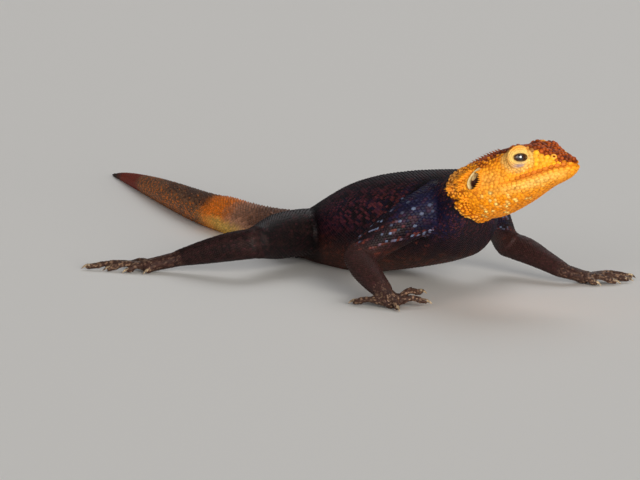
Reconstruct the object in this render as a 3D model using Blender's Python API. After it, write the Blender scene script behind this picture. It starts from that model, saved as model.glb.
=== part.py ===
"""Namibian rock agama, adult male, as a still, life-size model.

The lizard rests on the floor with its front raised on bent arms, its head turned to its left,
its right hind leg stretched out behind and its tail laid along the floor.

Sizes below are in millimetres, in the body's own frame: x forward along the trunk, y to the
animal's left, z up from the floor, with the pelvis over the origin. MM turns them into metres,
and the empty that carries the parts sets the middle of the whole model's footprint at the origin.
"""

import math

import bmesh
import bpy
import numpy as np

MM = 0.001
GAP = 0.3
HALF_GAP = GAP / 2

# Sides of the lofted rings, and rings along the limbs, palms and digits.
TRUNK_SIDES = 32
TAIL_SIDES = 16
LIMB_SIDES = 14
DIGIT_SIDES = 7
CLAW_SIDES = 5
LIMB_STEPS = 8
PALM_STEPS = 5
DIGIT_STEPS = 6

# Trunk: x, y of the middle, height of the back, height of the belly, half width.
TRUNK = (
    (-14.0, 0.6, 13.4, 0.3, 8.6),
    (-5.0, 0.1, 16.4, -0.3, 9.8),
    (4.0, 0.0, 20.8, -0.6, 11.6),
    (14.0, 0.0, 25.3, -0.6, 13.8),
    (24.0, 0.0, 28.3, 0.4, 15.2),
    (34.0, 0.0, 30.3, 2.2, 15.6),
    (44.0, 0.0, 31.7, 4.4, 15.0),
    (52.0, -0.2, 32.6, 6.4, 13.9),
    (59.0, -0.8, 33.6, 8.6, 12.6),
)
TRUNK_POWER = 2.25
BELLY_CUT = 4
TRUNK_RINGS_PER_STATION = 3
SHOULDER_SLOPE = (0.99, -0.06, 0.14)

# Tail: x, y, half height, half width, laid along the floor.
TAIL = (
    (-14.0, 0.6, 6.8, 8.6),
    (-24.0, 2.6, 6.2, 7.7),
    (-38.0, 5.8, 5.7, 6.7),
    (-52.0, 8.9, 5.5, 6.0),
    (-66.0, 12.0, 5.5, 5.5),
    (-80.0, 15.6, 5.1, 5.1),
    (-98.0, 21.8, 4.75, 4.75),
    (-116.0, 28.6, 4.35, 4.35),
    (-133.0, 35.3, 3.85, 3.85),
    (-149.0, 41.6, 3.3, 3.3),
    (-162.0, 46.8, 2.75, 2.75),
    (-174.0, 51.5, 2.2, 2.2),
    (-186.0, 56.0, 1.5, 1.5),
    (-196.0, 59.5, 0.75, 0.75),
)
TAIL_CUTS = (0, 3, 6, 9, 11, 13)
TAIL_SINK = 0.35
TAIL_RINGS_PER_STATION = 2
TAIL_LOOK = 0.05
TAIL_BLEND = 1.5

# Head: its middle at the ears, the way that it points, and its sections from neck to snout.
# Each section: distance forward, half width, crown, line of the mouth, throat, upper power.
HEAD_CENTRE = (73.2, -4.7, 33.2)
HEAD_YAW = math.radians(20.6)
HEAD_PITCH = math.radians(11.2)
HEAD_SECTIONS = (
    (-5.0, 9.5, 3.8, -1.9, -12.1, 2.1),
    (-2.0, 10.2, 4.8, -1.9, -11.6, 2.1),
    (1.5, 10.5, 5.8, -1.95, -11.7, 2.2),
    (5.0, 10.3, 6.4, -2.0, -11.1, 2.3),
    (8.5, 9.8, 6.8, -2.0, -10.0, 2.5),
    (12.0, 9.1, 7.0, -1.9, -8.7, 2.7),
    (15.5, 8.1, 6.7, -1.5, -7.1, 2.8),
    (19.0, 6.7, 5.9, -0.85, -5.6, 2.6),
    (22.0, 5.3, 4.4, -0.35, -4.7, 2.3),
    (24.5, 4.0, 2.9, -0.15, -3.9, 2.1),
    (26.2, 2.7, 1.8, -0.3, -2.9, 2.0),
)
SNOUT_TIP = (27.4, 0.0, -0.7)
THROAT_POWER = 2.1
HEAD_RINGS = 30
HEAD_ROWS = 9
FOLD_STEP = 0.92
FOLD_SIDE = 0.96
NECK_RINGS = 9
NECK_PULL = 9.0

# Mouth: how far forward its corner is, the groove and the lips beside it.
MOUTH_CORNER = 8.0
MOUTH_FADE = 2.0
MOUTH_DEPTH = 0.55
LIP_EDGE = 0.28
LIP_CREST = 0.85
LIP_SWELL = 0.22

# Eyes, in the head's frame: forward, out to the side, up.
EYE = (13.3, 6.0, 4.05)
EYE_TURN = math.radians(37.0)
BROW_PLACE = 18.2
BROW_LENGTH = 3.4
BROW_ANGLE = math.radians(52.0)
BROW_SPREAD = math.radians(24.0)
BROW_HEIGHT = 1.9
BROW_OUT = 0.4
CROWN_DIP = 0.4
EYE_RADIUS = 2.75
SOCKET_RADIUS = EYE_RADIUS + GAP
LID_RADIUS = 3.6
OPENING_LENGTH = 3.8
OPENING_HEIGHT = 2.3
OPENING_TILT = math.radians(-8.0)
LID_EDGE = 0.34
EDGE_SIDES = 5
NOSTRIL = (22.6, 3.5, 2.8)
NOSTRIL_SWELL = 0.85
NOSTRIL_HOLE = 0.42
EAR = (1.15, 9.9, 0.0)
EAR_SIZE = (1.5, 1.9, 2.35)
EAR_LEAN = math.radians(31.0)

# Spines of the ear's front edge, the tufts behind it and the crest of the nape. Each way is
# forward, out to the side and up.
SPINE_SEED = 7
SPINE_LENGTH = 1.3
SPINE_WIDTH = 1.15
SPINE_WAIST = 0.8
SPINE_SINK = 0.6
SPINE_SIDES = 5
EAR_SPINES = 5
EAR_SPINE_WAY = (-0.9, 0.6, 0.0)
TUFTS = ((-3.1, 3.0), (-3.5, -1.2), (-3.4, -5.2))
TUFT_SPINES = 5
TUFT_RADIUS = 0.7
TUFT_WAY = (-0.6, 0.8, 0.2)
CREST_SPINES = 6
CREST_LENGTH = 0.95
CREST_FRONT = 2.5
CREST_BACK = -4.0
CREST_WAY = (-0.8, 0.0, 0.6)

# Limbs: x, y, z of points along the bone, half width, half height.
ARM_RIGHT = (
    (57.5, -8.5, 24.0, 6.4, 6.9),
    (55.8, -16.5, 20.8, 5.2, 5.9),
    (52.0, -23.6, 15.7, 4.4, 4.9),
    (48.8, -29.4, 11.2, 3.9, 4.1),
)
FOREARM_RIGHT = (
    (48.2, -30.0, 10.4, 3.7, 3.9),
    (54.0, -32.0, 8.4, 3.9, 4.0),
    (60.0, -33.8, 6.2, 3.4, 3.5),
    (65.0, -34.8, 4.2, 2.9, 2.7),
)
ARM_LEFT = (
    (54.5, 8.5, 22.4, 5.8, 6.2),
    (52.8, 15.4, 18.4, 4.6, 5.0),
    (50.0, 20.8, 13.7, 4.0, 4.3),
    (47.6, 25.0, 9.4, 3.7, 3.9),
)
FOREARM_LEFT = (
    (47.4, 25.6, 8.7, 3.6, 3.8),
    (54.6, 26.4, 7.6, 3.7, 3.8),
    (61.8, 26.6, 5.8, 3.2, 3.1),
    (68.4, 27.0, 3.9, 2.7, 2.5),
)
THIGH_RIGHT = (
    (-0.2, -4.5, 9.8, 7.0, 6.6),
    (2.0, -13.5, 10.2, 6.9, 6.9),
    (5.2, -24.0, 10.4, 6.0, 6.6),
    (8.6, -33.0, 10.2, 4.6, 5.0),
)
SHANK_RIGHT = (
    (8.9, -35.2, 10.0, 4.2, 4.4),
    (2.6, -38.9, 8.6, 4.2, 4.2),
    (-5.2, -42.2, 6.4, 3.4, 3.5),
    (-12.2, -45.4, 4.3, 2.5, 2.6),
)
THIGH_LEFT = (
    (-0.2, 4.5, 11.0, 7.0, 7.0),
    (2.0, 13.2, 11.0, 6.8, 7.0),
    (5.2, 22.5, 10.2, 6.0, 6.4),
    (8.0, 31.0, 9.2, 4.6, 4.8),
)
SHANK_LEFT = (
    (8.3, 33.0, 8.9, 4.2, 4.3),
    (2.4, 37.0, 7.8, 4.2, 4.1),
    (-4.4, 40.8, 6.0, 3.4, 3.4),
    (-10.4, 44.2, 4.2, 2.5, 2.6),
)

# Hands and feet: the palm or sole, then each digit's tip and the height of its knuckle.
HAND_RIGHT = {
    "palm": ((65.0, -34.9, 3.9, 2.6, 2.3), (67.6, -35.5, 2.9, 3.0, 2.1), (70.2, -35.7, 1.9, 3.1, 1.9)),
    "digits": (
        ((67.0, -33.4), (66.6, -27.6, 0.9), 2.6),
        ((69.4, -33.2), (70.4, -25.6, 3.4), 5.6),
        ((71.2, -34.2), (75.4, -28.4, 1.7), 3.9),
        ((71.6, -36.4), (74.6, -37.6, 0.9), 3.0),
        ((68.0, -37.8), (60.8, -41.2, 1.1), 2.9),
    ),
}
HAND_LEFT = {
    "palm": ((69.4, 27.0, 3.6, 2.5, 2.2), (71.4, 29.2, 2.8, 2.9, 2.0), (72.8, 31.6, 1.9, 3.0, 1.9)),
    "digits": (
        ((73.2, 29.6), (78.2, 31.2, 0.9), 2.5),
        ((74.0, 31.2), (80.4, 36.4, 1.0), 3.0),
        ((74.0, 32.8), (79.6, 42.0, 1.0), 3.2),
        ((72.8, 33.6), (76.4, 46.2, 1.0), 3.3),
        ((70.8, 32.6), (67.2, 39.8, 0.8), 2.6),
    ),
}
FOOT_RIGHT = {
    "palm": ((-12.0, -45.2, 4.2, 2.5, 2.4), (-15.4, -48.6, 3.0, 2.9, 2.2), (-18.8, -52.2, 2.0, 3.2, 1.9)),
    "digits": (
        ((-16.2, -50.6), (-16.0, -54.0, 0.8), 2.6),
        ((-18.4, -52.8), (-20.6, -57.6, 0.8), 3.0),
        ((-20.2, -53.6), (-26.6, -60.2, 0.8), 3.1),
        ((-21.2, -52.8), (-32.6, -63.4, 1.0), 3.2),
        ((-19.2, -49.6), (-28.8, -51.6, 1.0), 3.6),
    ),
}
FOOT_LEFT = {
    "palm": ((-10.2, 44.2, 4.1, 2.5, 2.4), (-8.0, 48.0, 3.0, 2.9, 2.2), (-6.0, 51.6, 2.0, 3.2, 1.9)),
    "digits": (
        ((-3.6, 50.6), (1.6, 51.2, 0.8), 2.6),
        ((-3.8, 52.4), (1.4, 56.0, 0.8), 3.0),
        ((-4.6, 54.0), (-1.4, 61.4, 0.8), 3.2),
        ((-6.2, 54.4), (-6.6, 67.0, 0.9), 3.2),
        ((-8.8, 51.4), (-15.4, 54.4, 0.8), 2.6),
    ),
}
DIGIT_ROOT = 1.3
DIGIT_MIDDLE = 1.05
DIGIT_END = 0.85
CLAW_LENGTH = 2.6
CLAW_ROOT = 0.62
CLAW_TIP = 0.12
CLAW_DROP = 0.9
CLAW_RINGS = 4

COLOURS = {
    "head": (0.83, 0.32, 0.03),
    "eye": (0.02, 0.015, 0.012),
    "neck": (0.62, 0.24, 0.05),
    "trunk": (0.035, 0.025, 0.04),
    "tail_pale": (0.55, 0.36, 0.2),
    "tail_grey": (0.26, 0.2, 0.12),
    "tail_red": (0.5, 0.09, 0.02),
    "limb": (0.045, 0.03, 0.028),
    "hand": (0.09, 0.06, 0.045),
}


def start_clean():
    """Empties the scene and makes the collections for the parts and for the cutters."""
    for thing in list(bpy.data.objects):
        bpy.data.objects.remove(thing, do_unlink=True)
    scene = bpy.context.scene.collection
    for title in ("Agama", "Cutters"):
        group = bpy.data.collections.new(title)
        scene.children.link(group)
    bpy.data.collections["Cutters"].hide_render = True


def unit(vectors):
    """Vectors, one or many, brought to length one."""
    vectors = np.asarray(vectors, float)
    return vectors / np.linalg.norm(vectors, axis=-1, keepdims=True)


def smooth(rows, count):
    """A curve through every row of numbers, read at even steps of the row's number."""
    rows = np.asarray(rows, float)
    ends = np.vstack([2 * rows[0] - rows[1], rows, 2 * rows[-1] - rows[-2]])
    place = np.linspace(0, len(rows) - 1, count)
    return curve_at(ends, place)


def curve_at(ends, place):
    """The same curve at given places; ends is the table with one row added at each end."""
    index = np.minimum(place.astype(int), len(ends) - 4)
    step = (place - index)[:, None]
    before, here, after, beyond = (ends[index + k] for k in range(4))
    bend = 2 * before - 5 * here + 4 * after - beyond
    turn = 3 * (here - after) + beyond - before
    return here + 0.5 * step * (after - before + step * (bend + step * turn))


def places_between(rows, first, last, per_station, lead):
    """The table with a row added at each end, and the places of rings from one station to another.

    Each end is drawn in by lead millimetres, which leaves the gap to the next part.
    """
    rows = np.asarray(rows, float)
    ends = np.vstack([2 * rows[0] - rows[1], rows, 2 * rows[-1] - rows[-2]])
    near = lead / np.linalg.norm(rows[first + 1, :2] - rows[first, :2])
    far = lead / np.linalg.norm(rows[last, :2] - rows[last - 1, :2])
    place = np.linspace(first, last, (last - first) * per_station + 1)
    place[0] += near
    place[-1] -= far
    return ends, place


def table_between(rows, first, last, per_station, lead):
    """Rows of a table read along its curve from one station to another."""
    return curve_at(*places_between(rows, first, last, per_station, lead))


def rings_of(centres, sides_way, tops_way, half_widths, ups, downs, count, power):
    """Rings of points: a rounded section round each centre, as wide and as deep as it is told."""
    angle = np.linspace(0, 2 * math.pi, count, endpoint=False)
    across = np.sign(np.cos(angle)) * np.abs(np.cos(angle)) ** (2 / power)
    along = np.sign(np.sin(angle)) * np.abs(np.sin(angle)) ** (2 / power)
    depth = np.where(along > 0, np.outer(ups, along), np.outer(downs, along))
    wide = np.outer(half_widths, across)
    return centres[:, None] + wide[..., None] * sides_way[:, None] + depth[..., None] * tops_way[:, None]


def loft(name, rings, start=None, end=None, floor=0.0):
    """A closed skin over rings of points, its ends flat or drawn to a point, nothing below floor."""
    rings = np.array(rings, float)
    rings[..., 2] = np.maximum(rings[..., 2], floor)
    tall, around = rings.shape[:2]
    work = bmesh.new()
    points = [[work.verts.new(point * MM) for point in ring] for ring in rings]
    for low, high in zip(points, points[1:]):
        for k in range(around):
            work.faces.new((low[k], low[(k + 1) % around], high[(k + 1) % around], high[k]))
    for ring, pole, turned in ((points[0], start, True), (points[-1], end, False)):
        if pole is None:
            work.faces.new(ring[::-1] if turned else ring)
            continue
        pole = np.array(pole, float)
        pole[2] = max(pole[2], floor)
        tip = work.verts.new(pole * MM)
        for k in range(around):
            pair = (ring[k], ring[(k + 1) % around])
            work.faces.new((tip, *(pair[::-1] if turned else pair)))
    bmesh.ops.recalc_face_normals(work, faces=work.faces)
    return object_of(name, work)


def object_of(name, work):
    """A mesh object in the Agama collection from a bmesh, which is freed."""
    mesh = bpy.data.meshes.new(name)
    work.to_mesh(mesh)
    work.free()
    thing = bpy.data.objects.new(name, mesh)
    bpy.data.collections["Agama"].objects.link(thing)
    return thing


def tube(name, stations, sides, steps, grow=0.0, floor=0.0, power=2.0, blunt=0.8):
    """A limb: a rounded section carried along a curve through the stations, with domed ends."""
    table = smooth(stations, steps)
    centres = table[:, :3]
    way = unit(np.gradient(centres, axis=0))
    side = unit(np.cross(way, (0.0, 0.0, 1.0)))
    top = np.cross(side, way)
    wide = table[:, 3] + grow
    tall = table[:, 4] + grow
    parts = [dome_rings(centres[0], -way[0], side[0], top[0], wide[0], tall[0], blunt)[::-1]]
    parts.append([(centres[k], side[k], top[k], wide[k], tall[k]) for k in range(steps)])
    parts.append(dome_rings(centres[-1], way[-1], side[-1], top[-1], wide[-1], tall[-1], blunt))
    rows = [row for part in parts for row in part]
    columns = [np.array(column) for column in zip(*rows)]
    rings = rings_of(columns[0], columns[1], columns[2], columns[3], columns[4], columns[4], sides, power)
    reach = blunt * 0.5 * (wide + tall)
    start = centres[0] - way[0] * reach[0]
    end = centres[-1] + way[-1] * reach[-1]
    return loft(name, rings, start, end, floor)


def dome_rings(centre, way, side, top, wide, tall, blunt):
    """Two rings that round off the end of a tube."""
    rows = []
    for angle in (math.radians(35), math.radians(65)):
        out = blunt * 0.5 * (wide + tall) * math.sin(angle)
        rows.append((centre + way * out, side, top, wide * math.cos(angle), tall * math.cos(angle)))
    return rows


def ball(name, centre, radii, segments=20, rings=12, frame=None):
    """An ellipsoid whose three half axes lie along the frame's three directions."""
    work = bmesh.new()
    bmesh.ops.create_uvsphere(work, u_segments=segments, v_segments=rings, radius=1.0)
    frame = np.eye(3) if frame is None else np.asarray(frame)
    for vert in work.verts:
        local = np.array(vert.co) * radii
        vert.co = (np.asarray(centre) + local @ frame) * MM
    work.normal_update()
    bmesh.ops.recalc_face_normals(work, faces=work.faces)
    return object_of(name, work)


def applied(thing):
    """Puts the result of a thing's modifiers in its mesh and keeps its largest closed surface."""
    graph = bpy.context.evaluated_depsgraph_get()
    mesh = bpy.data.meshes.new_from_object(thing.evaluated_get(graph))
    thing.modifiers.clear()
    old = thing.data
    thing.data = mesh
    bpy.data.meshes.remove(old)
    work = bmesh.new()
    work.from_mesh(mesh)
    bmesh.ops.triangulate(work, faces=work.faces)
    keep_largest(work)
    work.to_mesh(mesh)
    work.free()
    return thing


def keep_largest(work):
    """Removes every closed surface of a bmesh but the one with the most faces."""
    left = set(work.verts)
    groups = []
    while left:
        stack = [left.pop()]
        group = set(stack)
        while stack:
            for edge in stack.pop().link_edges:
                for vert in edge.verts:
                    if vert in left:
                        left.remove(vert)
                        group.add(vert)
                        stack.append(vert)
        groups.append(group)
    largest = max(groups, key=len)
    loose = [vert for vert in work.verts if vert not in largest]
    bmesh.ops.delete(work, geom=loose, context="VERTS")


def combine(thing, others, operation):
    """One Boolean of a thing with a collection of closed objects, applied; the others are removed."""
    group = bpy.data.collections.new("Pieces")
    bpy.context.scene.collection.children.link(group)
    for other in others:
        bpy.data.collections["Agama"].objects.unlink(other)
        group.objects.link(other)
        other.hide_render = True
        other.display_type = "WIRE"
    step = thing.modifiers.new(operation.title(), "BOOLEAN")
    step.operation = operation
    step.operand_type = "COLLECTION"
    step.collection = group
    step.solver = "EXACT"
    bpy.context.view_layer.update()
    applied(thing)
    for other in others:
        bpy.data.objects.remove(other, do_unlink=True)
    bpy.data.collections.remove(group)
    return thing


def trunk_rings(table, grow=0.0):
    """Rings of the trunk from rows of the trunk's table, each upright across the way forward."""
    x, y, back, belly, wide = table.T
    middle = 0.5 * (back + belly)
    centres = np.stack([x, y, middle], axis=1)
    count = len(table)
    side = np.tile((0.0, -1.0, 0.0), (count, 1))
    top = np.tile((0.0, 0.0, 1.0), (count, 1))
    half = 0.5 * (back - belly) + grow
    return rings_of(centres, side, top, wide + grow, half, half, TRUNK_SIDES, TRUNK_POWER)


def make_trunk():
    """The belly and the chest, parted by a thin plane cut."""
    last = len(TRUNK) - 1
    spans = (("belly", 0, BELLY_CUT), ("chest", BELLY_CUT, last))
    for name, first, final in spans:
        table = table_between(TRUNK, first, final, TRUNK_RINGS_PER_STATION, HALF_GAP)
        loft(name, trunk_rings(table))


def trunk_cutter():
    """The trunk grown by the gap, to cut the roots of the limbs to its surface."""
    table = table_between(TRUNK, 0, len(TRUNK) - 1, 2, -GAP)
    return loft("trunk_cutter", trunk_rings(table, GAP), floor=-5.0)


def make_tail():
    """The tail in five lengths, each round, laid along the floor on a narrow flat."""
    for number, (first, last) in enumerate(zip(TAIL_CUTS, TAIL_CUTS[1:]), start=1):
        final = last == len(TAIL) - 1
        ends, place = places_between(TAIL, first, last, TAIL_RINGS_PER_STATION, HALF_GAP)
        x, y, tall, wide = curve_at(ends, place).T
        centres = np.stack([x, y, tall - TAIL_SINK], axis=1)
        ahead = curve_at(ends, place + TAIL_LOOK) - curve_at(ends, place - TAIL_LOOK)
        way = unit(ahead[:, :2])
        bend = np.clip(place / TAIL_BLEND, 0, 1)[:, None]
        way = unit(way * bend + np.array((-1.0, 0.0)) * (1 - bend))
        way = np.column_stack([way, np.zeros(len(way))])
        side = np.cross(way, (0.0, 0.0, 1.0))
        top = np.tile((0.0, 0.0, 1.0), (len(way), 1))
        rings = rings_of(centres, side, top, wide, tall, tall, TAIL_SIDES, 2.0)
        tip = centres[-1] + way[-1] * wide[-1] if final else None
        loft(f"tail_{number}", rings, end=tip)


def head_frame():
    """The head's directions as rows: forward, to its left, and up."""
    forward = np.array(
        (
            math.cos(HEAD_YAW) * math.cos(HEAD_PITCH),
            math.sin(HEAD_YAW) * math.cos(HEAD_PITCH),
            math.sin(HEAD_PITCH),
        )
    )
    left = unit(np.cross((0.0, 0.0, 1.0), forward))
    return np.array((forward, left, np.cross(forward, left)))


def head_point(local):
    """A point or points of the head's frame, in the body's frame."""
    return np.asarray(HEAD_CENTRE) + np.asarray(local, float) @ head_frame()


def head_section(forward):
    """Half width, crown, mouth, throat and upper power of the head at distances forward."""
    table = np.array(HEAD_SECTIONS)
    ends = np.vstack([2 * table[0] - table[1], table, 2 * table[-1] - table[-2]])
    place = np.interp(forward, table[:, 0], np.arange(len(table)))
    return curve_at(ends, np.atleast_1d(place))[:, 1:]


def lip_rows(depth, power):
    """Angles from the mouth to the crown or throat: close to the lips first, then even."""
    share = np.minimum(np.array((LIP_EDGE, LIP_CREST)) / depth, (0.12, 0.3))
    first = np.arcsin(share ** (power / 2))
    rest = np.linspace(first[-1], math.pi / 2, HEAD_ROWS)[1:]
    return np.concatenate([[0.0], first, rest])


def brow_swell(forward, angle):
    """How far the brow stands out and up over the head's own form, and the dip between the brows."""
    ridge = BROW_HEIGHT * math.exp(-(((forward - BROW_PLACE) / BROW_LENGTH) ** 2))
    rise = ridge * np.exp(-(((angle - BROW_ANGLE) / BROW_SPREAD) ** 2))
    return np.stack([BROW_OUT * rise, rise - CROWN_DIP * ridge * np.sin(angle) ** 8], axis=1)


def head_ring(forward, row):
    """One ring of the head: the mouth's groove and lips at its sides, crown above, throat below."""
    wide, crown, mouth, throat, upper = row
    on = min(max((forward - MOUTH_CORNER) / MOUTH_FADE, 0.0), 1.0)
    press = np.zeros(3 + HEAD_ROWS - 1)
    press[0] = -MOUTH_DEPTH * on
    press[2] = LIP_SWELL * on
    quarters = []
    for depth, power, sign in ((crown - mouth, upper, 1.0), (mouth - throat, THROAT_POWER, -1.0)):
        angle = lip_rows(depth, power)
        out = wide * np.cos(angle) ** (2 / power) + press * min(wide / 3.0, 1.0)
        up = mouth + sign * depth * np.sin(angle) ** (2 / power)
        quarters.append(np.stack([out, up], axis=1))
    above, below = quarters
    above += brow_swell(forward, lip_rows(crown - mouth, upper))
    flip = np.array((-1.0, 1.0))
    half = np.concatenate([below[:0:-1], above])
    other = (half * flip)[::-1][1:-1]
    loop = np.concatenate([half, other])
    local = np.column_stack([np.full(len(loop), forward), -loop[:, 0], loop[:, 1]])
    return head_point(local)


def head_skin():
    """The head's own form from the neck to the tip of the snout."""
    last = HEAD_SECTIONS[-1][0]
    turn = np.linspace(0, math.pi / 2, HEAD_RINGS)
    start = HEAD_SECTIONS[0][0]
    forward = start + (last - start) * np.sin(turn) ** 1.15
    forward[0] += HALF_GAP
    rows = head_section(forward)
    rings = np.array([head_ring(f, row) for f, row in zip(forward, rows)])
    return loft("head", rings, end=head_point(SNOUT_TIP))


def hood_ring(grow=0.0):
    """The neck's last ring: level with the crown, inside the throat and cheeks by the fold's step."""
    wide, crown, mouth, throat, upper = head_section(HEAD_SECTIONS[0][0])[0]
    frame = head_frame()
    low = throat * FOLD_STEP
    centre = head_point((HEAD_SECTIONS[0][0], 0.0, 0.5 * (crown + low)))
    half = np.array([0.5 * (crown - low) + grow])
    sideways = np.array([wide * FOLD_SIDE + grow])
    ways = (-frame[1][None], frame[2][None])
    return rings_of(centre[None], *ways, sideways, half, half, TRUNK_SIDES, TRUNK_POWER)[0]


def neck_rings(lead, grow=0.0):
    """Rings that run smoothly from the front of the chest to the back of the head."""
    table = table_between(TRUNK, len(TRUNK) - 2, len(TRUNK) - 1, 1, 0.0)
    chest = trunk_rings(table, grow)[-1]
    head = hood_ring(grow)
    out = np.array(SHOULDER_SLOPE) * NECK_PULL
    into = head_frame()[0] * NECK_PULL
    s = np.linspace(0, 1, NECK_RINGS)[:, None, None]
    rings = (
        (2 * s**3 - 3 * s**2 + 1) * chest
        + (s**3 - 2 * s**2 + s) * out
        + (3 * s**2 - 2 * s**3) * head
        + (s**3 - s**2) * into
    )
    rings[0] += np.array((lead, 0.0, 0.0))
    rings[-1] -= head_frame()[0] * lead
    return rings


def make_neck():
    """The neck, a little narrower than the hood of the head, so that the throat ends in a fold."""
    loft("neck", neck_rings(HALF_GAP))


def side_frame(side):
    """The head's frame with its second direction out to the given side, 1 left or -1 right."""
    forward, left, up = head_frame()
    return np.array((forward, left * side, up))


def on_side(local, side):
    """A point given forward, outwards and up, on the given side of the head."""
    return head_point((local[0], local[1] * side, local[2]))


def eye_frame(side):
    """The side's frame turned forward, the way that the eye looks."""
    forward, out, up = side_frame(side)
    c, s = math.cos(EYE_TURN), math.sin(EYE_TURN)
    return np.array((forward * c - out * s, out * c + forward * s, up))


def opening_points(count, margin, pinch):
    """The outline of the opening between the lids, forward and up, tilted with the eye."""
    turn = np.linspace(0, 2 * math.pi, count, endpoint=False)
    along = (0.5 * OPENING_LENGTH + margin) * np.cos(turn)
    up = (0.5 * OPENING_HEIGHT + margin) * np.sin(turn) * np.abs(np.sin(turn)) ** pinch
    c, s = math.cos(OPENING_TILT), math.sin(OPENING_TILT)
    return np.column_stack([along * c - up * s, along * s + up * c])


def almond(name, side, outer, inner):
    """A lens-shaped plug through the lids, on the line straight out from the eye."""
    frame = eye_frame(side)
    flat = opening_points(14, 0.0, 0.35)
    centre = on_side(EYE, side)
    rings = []
    for reach, scale in ((inner, 0.85), (outer, 1.15)):
        across = flat[:, :1] * scale * frame[0] + flat[:, 1:] * scale * frame[2]
        rings.append(centre + across + reach * frame[1])
    return loft(name, rings)


def lid_edge(name, side):
    """The thick edge of the lids: a ring that follows the opening on the ball of the lids."""
    frame = eye_frame(side)
    flat = opening_points(18, LID_EDGE, 0.2)
    out = np.sqrt(LID_RADIUS**2 - (flat**2).sum(axis=1))
    local = np.column_stack([flat[:, 0], out, flat[:, 1]])
    way = unit(np.roll(local, -1, axis=0) - np.roll(local, 1, axis=0))
    normal = unit(local)
    cross = np.cross(way, normal)
    around = np.linspace(0, 2 * math.pi, EDGE_SIDES, endpoint=False)[None, :, None]
    rings = local[:, None] + LID_EDGE * (np.cos(around) * cross[:, None] + np.sin(around) * normal[:, None])
    work = bmesh.new()
    centre = on_side(EYE, side)
    points = [[work.verts.new((centre + point @ frame) * MM) for point in ring] for ring in rings]
    for low, high in zip(points, points[1:] + points[:1]):
        for k in range(EDGE_SIDES):
            after = (k + 1) % EDGE_SIDES
            work.faces.new((low[k], low[after], high[after], high[k]))
    work.normal_update()
    bmesh.ops.recalc_face_normals(work, faces=work.faces)
    return object_of(name, work)


def ear_cup(name, side):
    """The hollow of the ear, an upright oval that leans forward at its top."""
    forward, out, up = side_frame(side)
    c, s = math.cos(EAR_LEAN), math.sin(EAR_LEAN)
    frame = np.array((forward * c - up * s, out, up * c + forward * s))
    return ball(name, on_side(EAR, side), EAR_SIZE, 14, 10, frame)


def spine(name, root, way, length):
    """A short spine: a cone of few sides whose root is sunk in what it grows from."""
    way = unit(way)
    across = unit(np.cross(way, (0.3, 0.2, 1.0)))
    other = np.cross(way, across)
    turn = np.linspace(0, 2 * math.pi, SPINE_SIDES, endpoint=False)[:, None]
    circle = 0.5 * SPINE_WIDTH * (np.cos(turn) * across + np.sin(turn) * other)
    rings = [root - way * SPINE_SINK + circle, root + way * 0.15 * length + SPINE_WAIST * circle]
    return loft(name, rings, end=root + way * length)


def side_out(forward, up):
    """How far out the side of the head lies at a distance forward and a height."""
    wide, crown, mouth, throat, upper = head_section(forward)[0]
    depth, power = (crown - mouth, upper) if up > mouth else (mouth - throat, THROAT_POWER)
    share = min(abs(up - mouth) / depth, 1.0)
    return wide * (1 - share**power) ** (1 / power)


def side_spine(name, side, place, way, length):
    """A spine on the side of the head at a distance forward and a height."""
    forward, up = place
    root = on_side((forward, side_out(forward, up), up), side)
    return spine(name, root, np.array(way) @ side_frame(side), length)


def head_spines(side, word):
    """The spines of the ear's front edge and the tufts behind it on one side of the head."""
    draw = np.random.default_rng(SPINE_SEED)
    spines = []
    for number, height in enumerate(np.linspace(-0.95, 0.95, EAR_SPINES)):
        rise = height * EAR_SIZE[2]
        bulge = EAR_SIZE[0] * math.sqrt(1.05 - height**2)
        place = (EAR[0] + bulge + math.tan(EAR_LEAN) * rise, EAR[2] + rise)
        length = SPINE_LENGTH * draw.uniform(0.85, 1.15)
        spines.append(side_spine(f"ear_{word}_{number}", side, place, EAR_SPINE_WAY, length))
    for tuft, (forward, up) in enumerate(TUFTS):
        for number, turn in enumerate(np.linspace(0, 2 * math.pi, TUFT_SPINES, endpoint=False)):
            c, s = math.cos(turn), math.sin(turn)
            place = (forward + TUFT_RADIUS * c, up + TUFT_RADIUS * s)
            way = (TUFT_WAY[0] + 0.3 * c, TUFT_WAY[1], TUFT_WAY[2] + 0.3 * s)
            length = SPINE_LENGTH * draw.uniform(0.9, 1.2)
            spines.append(side_spine(f"tuft_{word}_{tuft}_{number}", side, place, way, length))
    return spines


def crest_spines():
    """The low crest of spines along the middle of the nape."""
    spines = []
    for number, forward in enumerate(np.linspace(CREST_FRONT, CREST_BACK, CREST_SPINES)):
        root = head_point((forward, 0.0, head_section(forward)[0][1]))
        spines.append(spine(f"crest_{number}", root, np.array(CREST_WAY) @ head_frame(), CREST_LENGTH))
    return spines


def nostril_hole(name, side):
    """A short round hole that runs in from the nostril's swelling."""
    forward, out, up = side_frame(side)
    centre = on_side(NOSTRIL, side)
    way = unit(out + 0.35 * up + 0.2 * forward)
    across = unit(np.cross(way, forward))
    other = np.cross(way, across)
    turn = np.linspace(0, 2 * math.pi, 10, endpoint=False)[:, None]
    circle = NOSTRIL_HOLE * (np.cos(turn) * across + np.sin(turn) * other)
    rings = [centre - 0.9 * way + circle, centre + 2.2 * way + circle]
    return loft(name, rings)


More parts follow.
